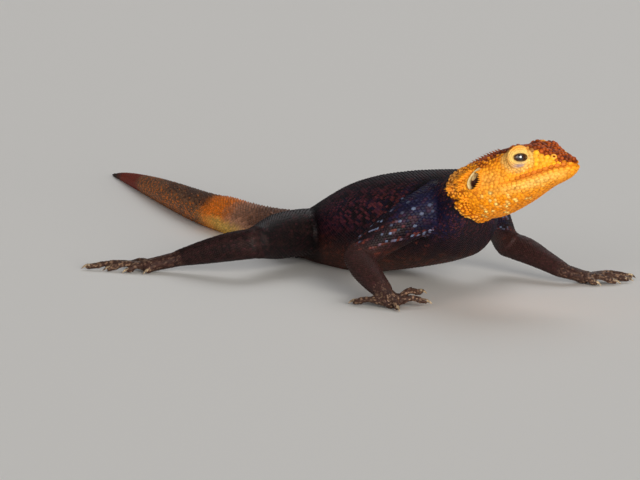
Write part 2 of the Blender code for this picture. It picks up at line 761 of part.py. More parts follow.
def make_head():
    """The head with lids, ears, nostrils, mouth and lips, and each eye in its socket."""
    head = head_skin()
    swells = []
    cuts = []
    for side, word in ((1.0, "left"), (-1.0, "right")):
        frame = side_frame(side)
        centre = on_side(EYE, side)
        swells.append(ball(f"lids_{word}", centre, [LID_RADIUS] * 3, 18, 12, frame))
        swells.append(lid_edge(f"lid_edge_{word}", side))
        swells.append(ball(f"nose_{word}", on_side(NOSTRIL, side), [NOSTRIL_SWELL] * 3, 10, 6, frame))
        cuts.append(ball(f"socket_{word}", centre, [SOCKET_RADIUS] * 3, 16, 10, frame))
        cuts.append(almond(f"almond_{word}", side, 6.0, 1.0))
        cuts.append(nostril_hole(f"hole_{word}", side))
        cuts.append(ear_cup(f"cup_{word}", side))
        ball(f"eye_{word}", centre, [EYE_RADIUS] * 3, 16, 10, frame)
    combine(head, swells, "UNION")
    combine(head, cuts, "DIFFERENCE")
    spines = crest_spines()
    for side, word in ((1.0, "left"), (-1.0, "right")):
        spines += head_spines(side, word)
    combine(head, spines, "UNION")


def claw(name, tip, way):
    """A claw that leaves the digit's end level, then curves down to a fine point."""
    way = unit(np.asarray(way, float) * (1.0, 1.0, 0.0))
    share = np.linspace(0, 1, CLAW_RINGS)[:, None]
    start = np.asarray(tip) - way * CLAW_LENGTH * 0.35 + (0.0, 0.0, 0.25)
    fall = (0.0, 0.0, -CLAW_DROP)
    centres = start + way * CLAW_LENGTH * share + np.array(fall) * share**2
    radius = CLAW_ROOT * (1 - share[:, 0]) ** 0.8 + CLAW_TIP
    side = np.tile(unit(np.cross(way, (0.0, 0.0, 1.0))), (CLAW_RINGS, 1))
    top = np.tile((0.0, 0.0, 1.0), (CLAW_RINGS, 1))
    rings = rings_of(centres, side, top, radius * 0.75, radius, radius, CLAW_SIDES, 2.0)
    return loft(name, rings)


def make_paw(name, paw, carrier):
    """A hand or a foot: palm, five jointed digits and their claws in one body, cut to its limb."""
    palm = tube(name, paw["palm"], LIMB_SIDES, PALM_STEPS)
    pieces = []
    for number, (root, tip, knuckle) in enumerate(paw["digits"]):
        root = np.array((root[0], root[1], 1.9))
        tip = np.array(tip)
        middle = root * 0.55 + tip * 0.45
        middle[2] = knuckle * 0.72
        late = root * 0.22 + tip * 0.78
        late[2] = 0.5 * (middle[2] + tip[2]) * 0.95
        inner = np.array((paw["palm"][1][0], paw["palm"][1][1], 2.2))
        begin = root * 0.6 + inner * 0.4
        begin[2] = 2.1
        stations = (
            (*begin, DIGIT_ROOT, DIGIT_ROOT),
            (*root, DIGIT_ROOT, DIGIT_ROOT),
            (*middle, DIGIT_MIDDLE, DIGIT_MIDDLE),
            (*late, DIGIT_MIDDLE, DIGIT_MIDDLE),
            (*tip, DIGIT_END, DIGIT_END),
        )
        pieces.append(tube(f"digit_{number}", stations, DIGIT_SIDES, DIGIT_STEPS))
        pieces.append(claw(f"claw_{number}", tip, tip - late))
    combine(palm, pieces, "UNION")
    combine(palm, [carrier], "DIFFERENCE")


def make_limb(words, stations, paw):
    """Two lengths of limb and the paw, each cut to the one that carries it."""
    upper_name, lower_name, paw_name = words
    upper_stations, lower_stations = stations
    upper = tube(upper_name, upper_stations, LIMB_SIDES, LIMB_STEPS)
    neck = loft("neck_cutter", neck_rings(-GAP, GAP), floor=-5.0)
    combine(upper, [trunk_cutter(), neck], "DIFFERENCE")
    grown = tube("grown_upper", upper_stations, LIMB_SIDES, LIMB_STEPS, grow=GAP, floor=-5.0)
    lower = tube(lower_name, lower_stations, LIMB_SIDES, LIMB_STEPS)
    combine(lower, [grown], "DIFFERENCE")
    grown = tube("grown_lower", lower_stations, LIMB_SIDES, LIMB_STEPS, grow=GAP, floor=-5.0)
    make_paw(paw_name, paw, grown)


def make_limbs():
    """Both arms and both hind legs."""
    for side, arm, forearm, hand, thigh, shank, foot in (
        ("right", ARM_RIGHT, FOREARM_RIGHT, HAND_RIGHT, THIGH_RIGHT, SHANK_RIGHT, FOOT_RIGHT),
        ("left", ARM_LEFT, FOREARM_LEFT, HAND_LEFT, THIGH_LEFT, SHANK_LEFT, FOOT_LEFT),
    ):
        words = (f"upper_arm_{side}", f"forearm_{side}", f"hand_{side}")
        make_limb(words, (arm, forearm), hand)
        words = (f"thigh_{side}", f"shank_{side}", f"foot_{side}")
        make_limb(words, (thigh, shank), foot)


def colour_word(name):
    """Which colour a part takes, by its name."""
    if name.startswith(("hand", "foot")):
        return "hand"
    if name.startswith(("upper_arm", "forearm", "thigh", "shank")):
        return "limb"
    if name.startswith("tail"):
        number = int(name.split("_")[1])
        return ("tail_pale", "tail_grey", "tail_grey", "tail_red", "tail_red")[number - 1]
    if name.startswith("eye"):
        return "eye"
    return {"head": "head", "neck": "neck"}.get(name, "trunk")


def finish():
    """Gives each part its own material, shades it smooth and carries all of them on one empty."""
    carrier = bpy.data.objects.new("agama", None)
    bpy.data.collections["Agama"].objects.link(carrier)
    low = np.full(3, np.inf)
    high = np.full(3, -np.inf)
    for thing in bpy.data.collections["Agama"].objects:
        if thing.type != "MESH":
            continue
        material = bpy.data.materials.new(thing.name)
        material.use_nodes = True
        shader = material.node_tree.nodes["Principled BSDF"]
        shader.inputs["Base Color"].default_value = (*COLOURS[colour_word(thing.name)], 1.0)
        shader.inputs["Roughness"].default_value = 0.15 if thing.name.startswith("eye") else 0.55
        shader.inputs["Metallic"].default_value = 0.0
        thing.data.materials.clear()
        thing.data.materials.append(material)
        thing.data.shade_smooth()
        points = np.empty(len(thing.data.vertices) * 3)
        thing.data.vertices.foreach_get("co", points)
        points = points.reshape(-1, 3)
        low = np.minimum(low, points.min(axis=0))
        high = np.maximum(high, points.max(axis=0))
        thing.parent = carrier
    middle = 0.5 * (low + high)
    carrier.location = (-middle[0], -middle[1], -low[2])
    bpy.context.view_layer.update()


start_clean()
make_trunk()
make_neck()
make_tail()
make_head()
make_limbs()
finish()
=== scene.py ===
"""Looks of the Namibian rock agama: one skin, its scales, eyes, lids, ears, nostrils, lips and claws.

Sizes are millimetres in the body's own frame, as in the part's source: x forward along the trunk,
y to the animal's left, z up. SHIFT carries that frame to the model's, and MM turns it to metres.
The head has a frame of its own, with x forward, y to its left and z up from its middle.
"""

import math

import bmesh
import bpy
import numpy as np
from mathutils import Matrix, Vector
from mathutils.bvhtree import BVHTree
from mathutils.kdtree import KDTree


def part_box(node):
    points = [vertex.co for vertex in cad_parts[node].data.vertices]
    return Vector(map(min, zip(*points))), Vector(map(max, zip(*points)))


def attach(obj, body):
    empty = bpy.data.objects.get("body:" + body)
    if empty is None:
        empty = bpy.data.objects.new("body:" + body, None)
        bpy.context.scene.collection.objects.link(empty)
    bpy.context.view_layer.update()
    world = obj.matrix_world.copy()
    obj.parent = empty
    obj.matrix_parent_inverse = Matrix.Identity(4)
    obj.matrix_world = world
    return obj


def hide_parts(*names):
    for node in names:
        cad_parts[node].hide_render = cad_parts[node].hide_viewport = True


MM = 0.001
SEED = 11
UP = np.array((0.0, 0.0, 1.0))

# How far the skin lies inside the solids, which is the depth of the scales over it.
COAT_DEPTH = 0.28
# The grain of the skin's mesh, and the distance forward from which it is halved, on the head.
SKIN_GRAIN = 0.64
FINE_SKIN_FROM = -4.0
SMOOTH_ROUNDS = 6
# Rings along trunk, neck and tail, points round each, and rings of a limb's cap.
TRUNK_RINGS = 90
NECK_RINGS = 22
TRUNK_ROUND = 128
TAIL_RINGS = 190
TAIL_ROUND = 64
CAP_RINGS = 8

# Trunk: x, y of the middle, height of the back, height of the belly, half width.
TRUNK = (
    (-14.0, 0.6, 13.4, 0.3, 8.6),
    (-5.0, 0.1, 16.4, -0.3, 9.8),
    (4.0, 0.0, 20.8, -0.6, 11.6),
    (14.0, 0.0, 25.3, -0.6, 13.8),
    (24.0, 0.0, 28.3, 0.4, 15.2),
    (34.0, 0.0, 30.3, 2.2, 15.6),
    (44.0, 0.0, 31.7, 4.4, 15.0),
    (52.0, -0.2, 32.6, 6.4, 13.9),
    (59.0, -0.8, 33.6, 8.6, 12.6),
)
# How boxy its sections are, 2 being an ellipse, where the belly's solid begins, the way that the
# neck leaves it, and how strongly.
TRUNK_POWER = 2.25
BELLY_START = -13.85
SHOULDER_SLOPE = (0.99, -0.06, 0.14)
NECK_PULL = 9.0

# Tail: x, y, half height, half width, laid along the floor.
TAIL = (
    (-14.0, 0.6, 6.8, 8.6),
    (-24.0, 2.6, 6.2, 7.7),
    (-38.0, 5.8, 5.7, 6.7),
    (-52.0, 8.9, 5.5, 6.0),
    (-66.0, 12.0, 5.5, 5.5),
    (-80.0, 15.6, 5.1, 5.1),
    (-98.0, 21.8, 4.75, 4.75),
    (-116.0, 28.6, 4.35, 4.35),
    (-133.0, 35.3, 3.85, 3.85),
    (-149.0, 41.6, 3.3, 3.3),
    (-162.0, 46.8, 2.75, 2.75),
    (-174.0, 51.5, 2.2, 2.2),
    (-186.0, 56.0, 1.5, 1.5),
    (-196.0, 59.5, 0.75, 0.75),
)
# How far its middle lies below its half height, so that it rests on the floor on a flat.
TAIL_SINK = 0.35

# Head: its middle at the ears, the way that it points, and its sections from neck to snout.
# Each section: distance forward, half width, crown, line of the mouth, throat, upper power.
HEAD_CENTRE = (73.2, -4.7, 33.2)
HEAD_YAW = math.radians(20.6)
HEAD_PITCH = math.radians(11.2)
HEAD_SECTIONS = (
    (-5.0, 9.5, 3.8, -1.9, -12.1, 2.1),
    (-2.0, 10.2, 4.8, -1.9, -11.6, 2.1),
    (1.5, 10.5, 5.8, -1.95, -11.7, 2.2),
    (5.0, 10.3, 6.4, -2.0, -11.1, 2.3),
    (8.5, 9.8, 6.8, -2.0, -10.0, 2.5),
    (12.0, 9.1, 7.0, -1.9, -8.7, 2.7),
    (15.5, 8.1, 6.7, -1.5, -7.1, 2.8),
    (19.0, 6.7, 5.9, -0.85, -5.6, 2.6),
    (22.0, 5.3, 4.4, -0.35, -4.7, 2.3),
    (24.5, 4.0, 2.9, -0.15, -3.9, 2.1),
    (26.2, 2.7, 1.8, -0.3, -2.9, 2.0),
)
SNOUT_TIP = (27.4, 0.0, -0.7)
THROAT_POWER = 2.1
# The neck's last ring lies inside the hood: shares of the throat's depth and of the half width.
FOLD_STEP = 0.92
FOLD_SIDE = 0.96
# Brows: distance forward, length, angle and spread round the section, height, and the share of it
# by which the crown dips between them.
BROW_PLACE = 18.2
BROW_LENGTH = 3.4
BROW_ANGLE = math.radians(52.0)
BROW_SPREAD = math.radians(24.0)
BROW_HEIGHT = 1.9
CROWN_DIP = 0.4

# Mouth, eyes, nostrils and ears, in the head's frame. Eye: forward, out to the side, up. Nostril
# and ear: forward, up.
MOUTH_CORNER = 8.0
MOUTH_DEPTH = 0.55
EYE = (13.3, 6.0, 4.05)
EYE_TURN = math.radians(37.0)
EYE_RADIUS = 2.75
LID_RADIUS = 3.6
OPENING_LENGTH = 3.8
OPENING_HEIGHT = 2.3
OPENING_TILT = math.radians(-8.0)
NOSTRIL = (22.6, 2.8)
NOSTRIL_RADIUS = 0.7
EAR = (1.15, 0.0)
EAR_WIDE = 1.5
EAR_LONG = 2.35
EAR_DEPTH = 3.04
EAR_LEAN = math.radians(31.0)
# Both sides of the head: outwards is 1 on the left and -1 on the right.
SIDES = ((1.0, "left"), (-1.0, "right"))

# The ear from its outer edge to its drum: share of its size, height over the head.
EAR_PROFILE = (
    (1.42, -0.35),
    (1.31, 0.1),
    (1.2, 0.28),
    (1.08, 0.2),
    (1.0, -0.15),
    (0.93, -0.7),
    (0.8, -1.3),
    (0.66, -1.75),
    (0.4, -1.9),
    (0.1, -1.85),
)
EAR_RINGS = 44
EAR_ROUND = 64
# A nostril from its outer edge into its hole: share of its radius, height over the skin.
NOSTRIL_PROFILE = (
    (1.7, -0.6),
    (1.4, -0.12),
    (1.0, 0.16),
    (0.68, 0.26),
    (0.5, 0.14),
    (0.42, -0.2),
    (0.34, -0.7),
    (0.1, -0.8),
)
NOSTRIL_RINGS = 28
NOSTRIL_ROUND = 40
LID_RINGS = 48
LID_ROUND = 72
EYE_RINGS = 40
EYE_ROUND = 56
BALL_RINGS = 40
BALL_ROUND = 60
# How far round the lids the scales are finer and paler.
LID_SURROUND = 1.7
# The hood's rear border on each side: height, distance forward.
HOOD_BORDER = (
    (-14.0, -3.6),
    (-11.8, -3.9),
    (-9.0, -5.6),
    (-6.8, -6.9),
    (-5.0, -6.2),
    (-3.0, -8.6),
    (-1.0, -9.4),
    (1.2, -9.2),
    (2.8, -6.4),
    (3.8, -4.0),
    (5.0, -2.4),
    (7.0, -2.0),
)

# Where the rust brown of the crown ends on the side of the head: distances forward, and heights.
CROWN_EDGE = (
    (-8.0, -3.0, 1.0, 5.0, 9.0, 12.0, 15.0, 17.4, 19.0, 20.7, 22.1, 23.5, 25.3, 26.5, 27.4),
    (3.2, 4.2, 4.9, 5.2, 5.6, 6.6, 6.9, 6.0, 4.7, 3.6, 2.9, 2.3, 1.4, 0.5, 0.3),
)
# Tufts of spines on the side of the head: distance forward, height.
TUFTS = ((-1.4, 3.3), (-2.4, 2.4), (-3.3, 1.6), (-3.5, -1.2), (-3.4, -5.2), (-5.6, 1.2), (-7.6, -0.6))
# How many spines stand in a tuft, along an ear and in the nape's crest, and how long they are.
TUFT_SPINES = 9
TUFT_SPINE_LENGTH = 1.05
EAR_SPINES = 15
EAR_SPINE_LENGTH = 0.9
CREST_SPINES = 11
CREST_SPINE_LENGTH = 0.95
# Lip scales in rows: height over the line of the mouth, distance between scales, width, height.
LIP_ROWS = (
    (0.55, 1.45, 0.9, 0.2),
    (1.32, 1.15, 0.85, 0.14),
    (-0.6, 1.35, 0.85, 0.2),
    (-1.35, 1.2, 0.8, 0.14),
)
LIP_END = 26.8
# Rows of pale spots on the jaw: depth under the mouth, distance between spots, shift, and the
# distances forward of the first and the last spot.
JAW_ROWS = (
    (2.2, 3.4, 1.1, 3.0, 14.5),
    (3.7, 2.0, 0.4, 2.5, 19.0),
    (5.5, 2.4, 1.4, 1.0, 14.0),
    (6.5, 2.1, 0.9, 0.0, 9.5),
    (7.9, 2.7, 0.2, -3.0, 8.0),
)

# Limbs: x, y, z of points along the bone, half width, half height.
LIMBS = {
    "upper_arm_right": (
        (57.5, -8.5, 24.0, 6.4, 6.9),
        (55.8, -16.5, 20.8, 5.2, 5.9),
        (52.0, -23.6, 15.7, 4.4, 4.9),
        (48.8, -29.4, 11.2, 3.9, 4.1),
    ),
    "forearm_right": (
        (48.2, -30.0, 10.4, 3.7, 3.9),
        (54.0, -32.0, 8.4, 3.9, 4.0),
        (60.0, -33.8, 6.2, 3.4, 3.5),
        (65.0, -34.8, 4.2, 2.9, 2.7),
    ),
    "upper_arm_left": (
        (54.5, 8.5, 22.4, 5.8, 6.2),
        (52.8, 15.4, 18.4, 4.6, 5.0),
        (50.0, 20.8, 13.7, 4.0, 4.3),
        (47.6, 25.0, 9.4, 3.7, 3.9),
    ),
    "forearm_left": (
        (47.4, 25.6, 8.7, 3.6, 3.8),
        (54.6, 26.4, 7.6, 3.7, 3.8),
        (61.8, 26.6, 5.8, 3.2, 3.1),
        (68.4, 27.0, 3.9, 2.7, 2.5),
    ),
    "thigh_right": (
        (-0.2, -4.5, 9.8, 7.0, 6.6),
        (2.0, -13.5, 10.2, 6.9, 6.9),
        (5.2, -24.0, 10.4, 6.0, 6.6),
        (8.6, -33.0, 10.2, 4.6, 5.0),
    ),
    "shank_right": (
        (8.9, -35.2, 10.0, 4.2, 4.4),
        (2.6, -38.9, 8.6, 4.2, 4.2),
        (-5.2, -42.2, 6.4, 3.4, 3.5),
        (-12.2, -45.4, 4.3, 2.5, 2.6),
    ),
    "thigh_left": (
        (-0.2, 4.5, 11.0, 7.0, 7.0),
        (2.0, 13.2, 11.0, 6.8, 7.0),
        (5.2, 22.5, 10.2, 6.0, 6.4),
        (8.0, 31.0, 9.2, 4.6, 4.8),
    ),
    "shank_left": (
        (8.3, 33.0, 8.9, 4.2, 4.3),
        (2.4, 37.0, 7.8, 4.2, 4.1),
        (-4.4, 40.8, 6.0, 3.4, 3.4),
        (-10.4, 44.2, 4.2, 2.5, 2.6),
    ),
}

# Hands and feet: the palm or sole as a limb's points, then each digit's root, tip and the height
# of its knuckle.
PAWS = {
    "hand_right": {
        "palm": ((65.0, -34.9, 3.9, 2.6, 2.3), (67.6, -35.5, 2.9, 3.0, 2.1), (70.2, -35.7, 1.9, 3.1, 1.9)),
        "digits": (
            ((67.0, -33.4), (66.6, -27.6, 0.9), 2.6),
            ((69.4, -33.2), (70.4, -25.6, 3.4), 5.6),
            ((71.2, -34.2), (75.4, -28.4, 1.7), 3.9),
            ((71.6, -36.4), (74.6, -37.6, 0.9), 3.0),
            ((68.0, -37.8), (60.8, -41.2, 1.1), 2.9),
        ),
    },
    "hand_left": {
        "palm": ((69.4, 27.0, 3.6, 2.5, 2.2), (71.4, 29.2, 2.8, 2.9, 2.0), (72.8, 31.6, 1.9, 3.0, 1.9)),
        "digits": (
            ((73.2, 29.6), (78.2, 31.2, 0.9), 2.5),
            ((74.0, 31.2), (80.4, 36.4, 1.0), 3.0),
            ((74.0, 32.8), (79.6, 42.0, 1.0), 3.2),
            ((72.8, 33.6), (76.4, 46.2, 1.0), 3.3),
            ((70.8, 32.6), (67.2, 39.8, 0.8), 2.6),
        ),
    },
    "foot_right": {
        "palm": ((-12.0, -45.2, 4.2, 2.5, 2.4), (-15.4, -48.6, 3.0, 2.9, 2.2), (-18.8, -52.2, 2.0, 3.2, 1.9)),
        "digits": (
            ((-16.2, -50.6), (-16.0, -54.0, 0.8), 2.6),
            ((-18.4, -52.8), (-20.6, -57.6, 0.8), 3.0),
            ((-20.2, -53.6), (-26.6, -60.2, 0.8), 3.1),
            ((-21.2, -52.8), (-32.6, -63.4, 1.0), 3.2),
            ((-19.2, -49.6), (-28.8, -51.6, 1.0), 3.6),
        ),
    },
    "foot_left": {
        "palm": ((-10.2, 44.2, 4.1, 2.5, 2.4), (-8.0, 48.0, 3.0, 2.9, 2.2), (-6.0, 51.6, 2.0, 3.2, 1.9)),
        "digits": (
            ((-3.6, 50.6), (1.6, 51.2, 0.8), 2.6),
            ((-3.8, 52.4), (1.4, 56.0, 0.8), 3.0),
            ((-4.6, 54.0), (-1.4, 61.4, 0.8), 3.2),
            ((-6.2, 54.4), (-6.6, 67.0, 0.9), 3.2),
            ((-8.8, 51.4), (-15.4, 54.4, 0.8), 2.6),
        ),
    },
}
# Radii of a digit from its root to its tip, and the height of its root.
DIGIT_ROOT = 1.3
DIGIT_MIDDLE = 1.05
DIGIT_END = 0.85
DIGIT_LIFT = 1.9
# Claws: length, radii at root and tip, and how far the tip drops.
CLAW_LENGTH = 2.6
CLAW_ROOT = 0.62
CLAW_TIP = 0.05
CLAW_DROP = 0.9

# Scales: how many stand round each part, how far apart their rows are in widths of a scale, and
# how high they rise.
ROWS = {
    "body": (104, 0.86, 0.2),
    "tail": (36, 0.95, 0.4),
    "thigh": (46, 0.88, 0.15),
    "shank": (34, 0.88, 0.24),
    "upper_arm": (38, 0.92, 0.2),
    "forearm": (34, 0.88, 0.24),
    "palm": (24, 0.9, 0.2),
    "digit": (12, 0.9, 0.2),
}
# A scale of the belly rises to this share of the others' height.
BELLY_FLATNESS = 0.6
# Places tried at random for granules on the head, under the hood's border and beside the lids.
HEAD_TRIES = 60000
HOOD_TRIES = 30000
LID_TRIES = 4000
# Factors between which scales, granules, lip plates and spines differ from one another.
SCALE_SIZES = (0.92, 1.08)
SCALE_TONES = (0.75, 1.25)
SCALE_HEIGHTS = (0.8, 1.2)
GRANULE_SIZES = (0.95, 1.1)
GRANULE_TONES = (0.82, 1.14)
GRANULE_HEIGHTS = (0.85, 1.15)
LID_TONES = (0.9, 1.12)
LIP_SIZES = (0.9, 1.08)
LIP_TONES = (0.92, 1.1)
SPINE_LENGTHS = (0.8, 1.2)
# The share of pointed scales among the granules behind the ear.
POINTED_SHARE = 0.22
# The width of a scale's patch on the unwrap, and the powers that redden the painted shade at a scale's foot.
PATCH = 0.003
REDDER = np.array((1.0, 1.35, 1.7))

# Camera, floor and lights. A lamp has its way in shares of right, back and up, its angle in
# degrees, its power and its colour.
CAMERA_AZIMUTH = math.radians(51.4)
CAMERA_HEIGHT = math.radians(8.75)
CAMERA_DISTANCE = 900.0
CAMERA_LENS = 174.5
CAMERA_SENSOR = 36.0
CAMERA_SIDE = -3.3
CAMERA_RISE = 6.5
FLOOR_REACH = 2000.0
FLOOR_COLOUR = (0.82, 0.81, 0.785)
SKY_COLOUR = (0.96, 0.97, 1.0)
SKY_STRENGTH = 0.16
LAMP_DISTANCE = 600.0
LAMPS = {
    "key": ((0.3, 0.8, 0.06), 30.0, 3.0, (1.0, 0.95, 0.87)),
    "fill": ((-0.4, 0.8, -0.05), 50.0, 1.2, (1.0, 0.97, 0.94)),
    "rim": ((0.2, -0.8, 0.9), 40.0, 0.8, (0.96, 0.97, 1.0)),
}

# Colours as they look on a screen, from 0 to 255.
ORANGE = (255, 160, 20)
ORANGE_DEEP = (255, 152, 10)
ORANGE_PALE = (250, 178, 74)
LORE_YELLOW = (255, 184, 34)
CREAM = (255, 222, 126)
RUST = (182, 76, 14)
RUST_DARK = (72, 24, 8)
LID_PALE = (246, 200, 112)
LID_GREY = (150, 128, 150)
# Brown of the painted shade on the upper lip.
LIP_SHADE_BROWN = (204, 108, 26)
HOOD_TAN = (250, 176, 80)
BODY_DARK = (24, 13, 20)
BODY_PURPLE = (98, 46, 60)
BODY_RED = (114, 54, 42)
BODY_BROWN = (60, 32, 22)
ARM_BLUE = (22, 22, 54)
# Pale blue of the painted glints, highlights on the shoulder's scales.
ARM_PAINTED_GLINT = (122, 140, 176)
LIMB_BROWN = (55, 34, 32)
THIGH_BLACK = (15, 10, 12)
TOE_BROWN = (74, 54, 46)
TOE_PALE = (152, 126, 102)
TAIL_BEIGE = (186, 134, 106)
TAIL_YELLOW = (222, 186, 92)
TAIL_ORANGE = (226, 122, 26)
TAIL_OLIVE = (128, 90, 62)
TAIL_BROWN = (72, 46, 32)
# Orange red of the tail's end, darkened with painted shade.
TAIL_RED_SHADED = (128, 38, 8)
TAIL_TIP = (48, 28, 18)
# Dark brown of painted shade inside the ears and the nostrils.
HOLLOW_SHADE_BROWN = (62, 26, 16)
EAR_RIM = (218, 194, 140)
PUPIL = (14, 10, 10)
IRIS = (66, 32, 12)
EYE_BROWN = (30, 20, 18)
HORN_DARK = (70, 50, 38)
HORN_PALE = (206, 182, 146)

# Colours along the tail, each at its distance from the root.
TAIL_BANDS = (
    (0, BODY_DARK),
    (9, TAIL_BEIGE),
    (37, TAIL_BEIGE),
    (47, TAIL_ORANGE),
    (59, TAIL_ORANGE),
    (67, TAIL_OLIVE),
    (146, TAIL_OLIVE),
    (151, TAIL_RED_SHADED),
    (176, TAIL_RED_SHADED),
    (185, TAIL_TIP),
)

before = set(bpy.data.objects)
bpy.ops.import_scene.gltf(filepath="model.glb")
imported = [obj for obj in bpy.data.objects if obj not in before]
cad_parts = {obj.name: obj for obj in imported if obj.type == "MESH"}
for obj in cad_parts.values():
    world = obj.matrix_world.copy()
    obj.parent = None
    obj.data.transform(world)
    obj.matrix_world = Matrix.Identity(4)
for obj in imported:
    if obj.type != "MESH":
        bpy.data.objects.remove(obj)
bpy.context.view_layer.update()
belly_low, belly_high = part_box("belly")
SHIFT = np.array((belly_low[0] / MM - BELLY_START, 0.5 * (belly_low[1] + belly_high[1]) / MM, 0.0))


def linear(colour):
    """A screen colour as the linear light that a shader takes."""
    share = np.asarray(colour, float) / 255.0
    return np.where(share <= 0.04045, share / 12.92, ((share + 0.055) / 1.055) ** 2.4)


def unit(vectors):
    """Vectors, one or many, brought to length one."""
    vectors = np.asarray(vectors, float)
    return vectors / np.maximum(np.linalg.norm(vectors, axis=-1, keepdims=True), 1e-9)


def rise(values, low, high):
    """0 below low, 1 above high and the smooth cubic 3s^2 - 2s^3 between them."""
    share = np.clip((np.asarray(values, float) - low) / (high - low), 0.0, 1.0)
    return share * share * (3.0 - 2.0 * share)


def bump(values, centre, spread):
    """A bell, exp of minus the squared distance from the centre over the squared spread."""
    return np.exp(-(((np.asarray(values, float) - centre) / spread) ** 2))


def turned(first, second, angle):
    """Two distances or directions, turned by an angle from the first one towards the second."""
    c, s = math.cos(angle), math.sin(angle)
    return first * c - second * s, second * c + first * s


def pointing(yaw, pitch):
    """The direction that is turned by yaw from x towards y and raised by pitch."""
    return np.array((math.cos(yaw) * math.cos(pitch), math.sin(yaw) * math.cos(pitch), math.sin(pitch)))


def angles_round(count):
    """Angles evenly round a full turn, the first of them 0."""
    return np.linspace(0, 2 * math.pi, count, endpoint=False)


def taken(keep, *arrays):
    """The same rows of several arrays."""
    return [values[keep] for values in arrays]


def either_side(points):
    """Distance forward, distance out to either side and height of points, in their own frame."""
    return points[:, 0], np.abs(points[:, 1]), points[:, 2]


def curve(rows, places):
    """A curve through every row of numbers, read at places counted in rows.

    Between two rows it is the cubic that passes through both with the slope of the rows beside them.
    """
    rows = np.asarray(rows, float)
    ends = np.vstack([2 * rows[0] - rows[1], rows, 2 * rows[-1] - rows[-2]])
    index = np.clip(np.floor(places).astype(int), 0, len(rows) - 2)
    step = (places - index)[:, None]
    before, here, after, beyond = (ends[index + k] for k in range(4))
    bend = 2 * before - 5 * here + 4 * after - beyond
    turn = 3 * (here - after) + beyond - before
    return here + 0.5 * step * (after - before + step * (bend + step * turn))


def rings_of(centres, sides, tops, wide, ups, downs, count, power):
    """Rings round the centres: wide and tall times the signed cosine and sine to the power 2/power."""
    angle = angles_round(count)
    across = np.sign(np.cos(angle)) * np.abs(np.cos(angle)) ** (2 / power)
    along = np.sign(np.sin(angle)) * np.abs(np.sin(angle)) ** (2 / power)
    depth = np.where(along > 0, np.outer(ups, along), np.outer(downs, along))
    width = np.outer(wide, across)
    return centres[:, None] + width[..., None] * sides[:, None] + depth[..., None] * tops[:, None]


def on_floor(grid):
    """The same points, none lower than the floor."""
    grid[..., 2] = np.maximum(grid[..., 2], 0.0)
    return grid


def head_frame():
    """The head's directions as rows: forward, to its left, and up."""
    forward = pointing(HEAD_YAW, HEAD_PITCH)
    left = unit(np.cross(UP, forward))
    return np.array((forward, left, np.cross(forward, left)))


HEAD_FRAME = head_frame()


def head_point(local):
    """Points given forward, left and up from the middle of the head, in the body's frame."""
    return np.asarray(HEAD_CENTRE) + np.asarray(local, float) @ HEAD_FRAME


def head_local(points):
    """The same the other way: forward, left and up of points of the body's frame."""
    return (np.asarray(points, float) - HEAD_CENTRE) @ HEAD_FRAME.T


def head_section(forward):
    """Half width, crown, mouth, throat and upper power of the head at distances forward."""
    table = np.array(HEAD_SECTIONS)
    place = np.interp(forward, table[:, 0], np.arange(len(table)))
    return curve(table, np.atleast_1d(place))[:, 1:]


def head_grid(rows=130, around=128):
    """The head from neck to snout: two rounded halves that meet at the line of the mouth.

    At angle a from the mouth a point is the half width times cos(a)^(2/p) out and the depth of
    its half times sin(a)^(2/p) up or down, and the brows are two bells added over the eyes.
    """
    turn = np.linspace(0, math.pi / 2, rows)
    first, last = HEAD_SECTIONS[0][0], HEAD_SECTIONS[-1][0]
    forward = first + (last - first) * np.sin(turn) ** 1.15
    wide, crown, mouth, throat, upper = head_section(forward).T[:, :, None]
    round_it = angles_round(around)[None]
    side = np.where(round_it < math.pi, 1.0, -1.0)
    lift = math.pi / 2 - np.abs(math.pi - round_it)
    angle = np.abs(lift)
    power = np.where(lift > 0, upper, THROAT_POWER)
    depth = np.where(lift > 0, crown - mouth, mouth - throat)
    out = wide * np.cos(angle) ** (2 / power)
    up = mouth + np.sign(lift) * depth * np.sin(angle) ** (2 / power)
    ridge = BROW_HEIGHT * bump(forward, BROW_PLACE, BROW_LENGTH)[:, None] * (lift > 0)
    swell = ridge * bump(angle, BROW_ANGLE, BROW_SPREAD)
    out = out + 0.4 * swell
    up = up + swell - CROWN_DIP * ridge * np.sin(angle) ** 8
    local = np.stack([np.broadcast_to(forward[:, None], out.shape), -side * out, up], axis=-1)
    grid = head_point(local)
    share = np.linspace(0.25, 1.0, 4)[:, None, None]
    tip = grid[-1] + (head_point(SNOUT_TIP) - grid[-1]) * share
    bulge = np.sqrt(1 - (1 - share) ** 2) - share
    reach = (head_point(SNOUT_TIP) - grid[-1].mean(axis=0)) * bulge * 0.6
    return np.concatenate([grid, tip + reach * (share < 1)])


def trunk_rings(places):
    """The trunk's rings at places of its table, upright across the way forward."""
    x, y, back, belly, wide = curve(TRUNK, places).T
    centres = np.stack([x, y, 0.5 * (back + belly)], axis=1)
    side = np.tile((0.0, -1.0, 0.0), (len(x), 1))
    top = np.tile(UP, (len(x), 1))
    half = 0.5 * (back - belly)
    return rings_of(centres, side, top, wide, half, half, TRUNK_ROUND, TRUNK_POWER)


def hood_ring():
    """The neck's last ring, level with the crown and inside the throat and cheeks by the fold."""
    wide, crown, _, throat, _ = head_section(HEAD_SECTIONS[0][0])[0]
    low = throat * FOLD_STEP
    centre = head_point((HEAD_SECTIONS[0][0], 0.0, 0.5 * (crown + low)))[None]
    half = np.array([0.5 * (crown - low)])
    width = np.array([wide * FOLD_SIDE])
    side, top = -HEAD_FRAME[1][None], HEAD_FRAME[2][None]
    return rings_of(centre, side, top, width, half, half, TRUNK_ROUND, TRUNK_POWER)[0]


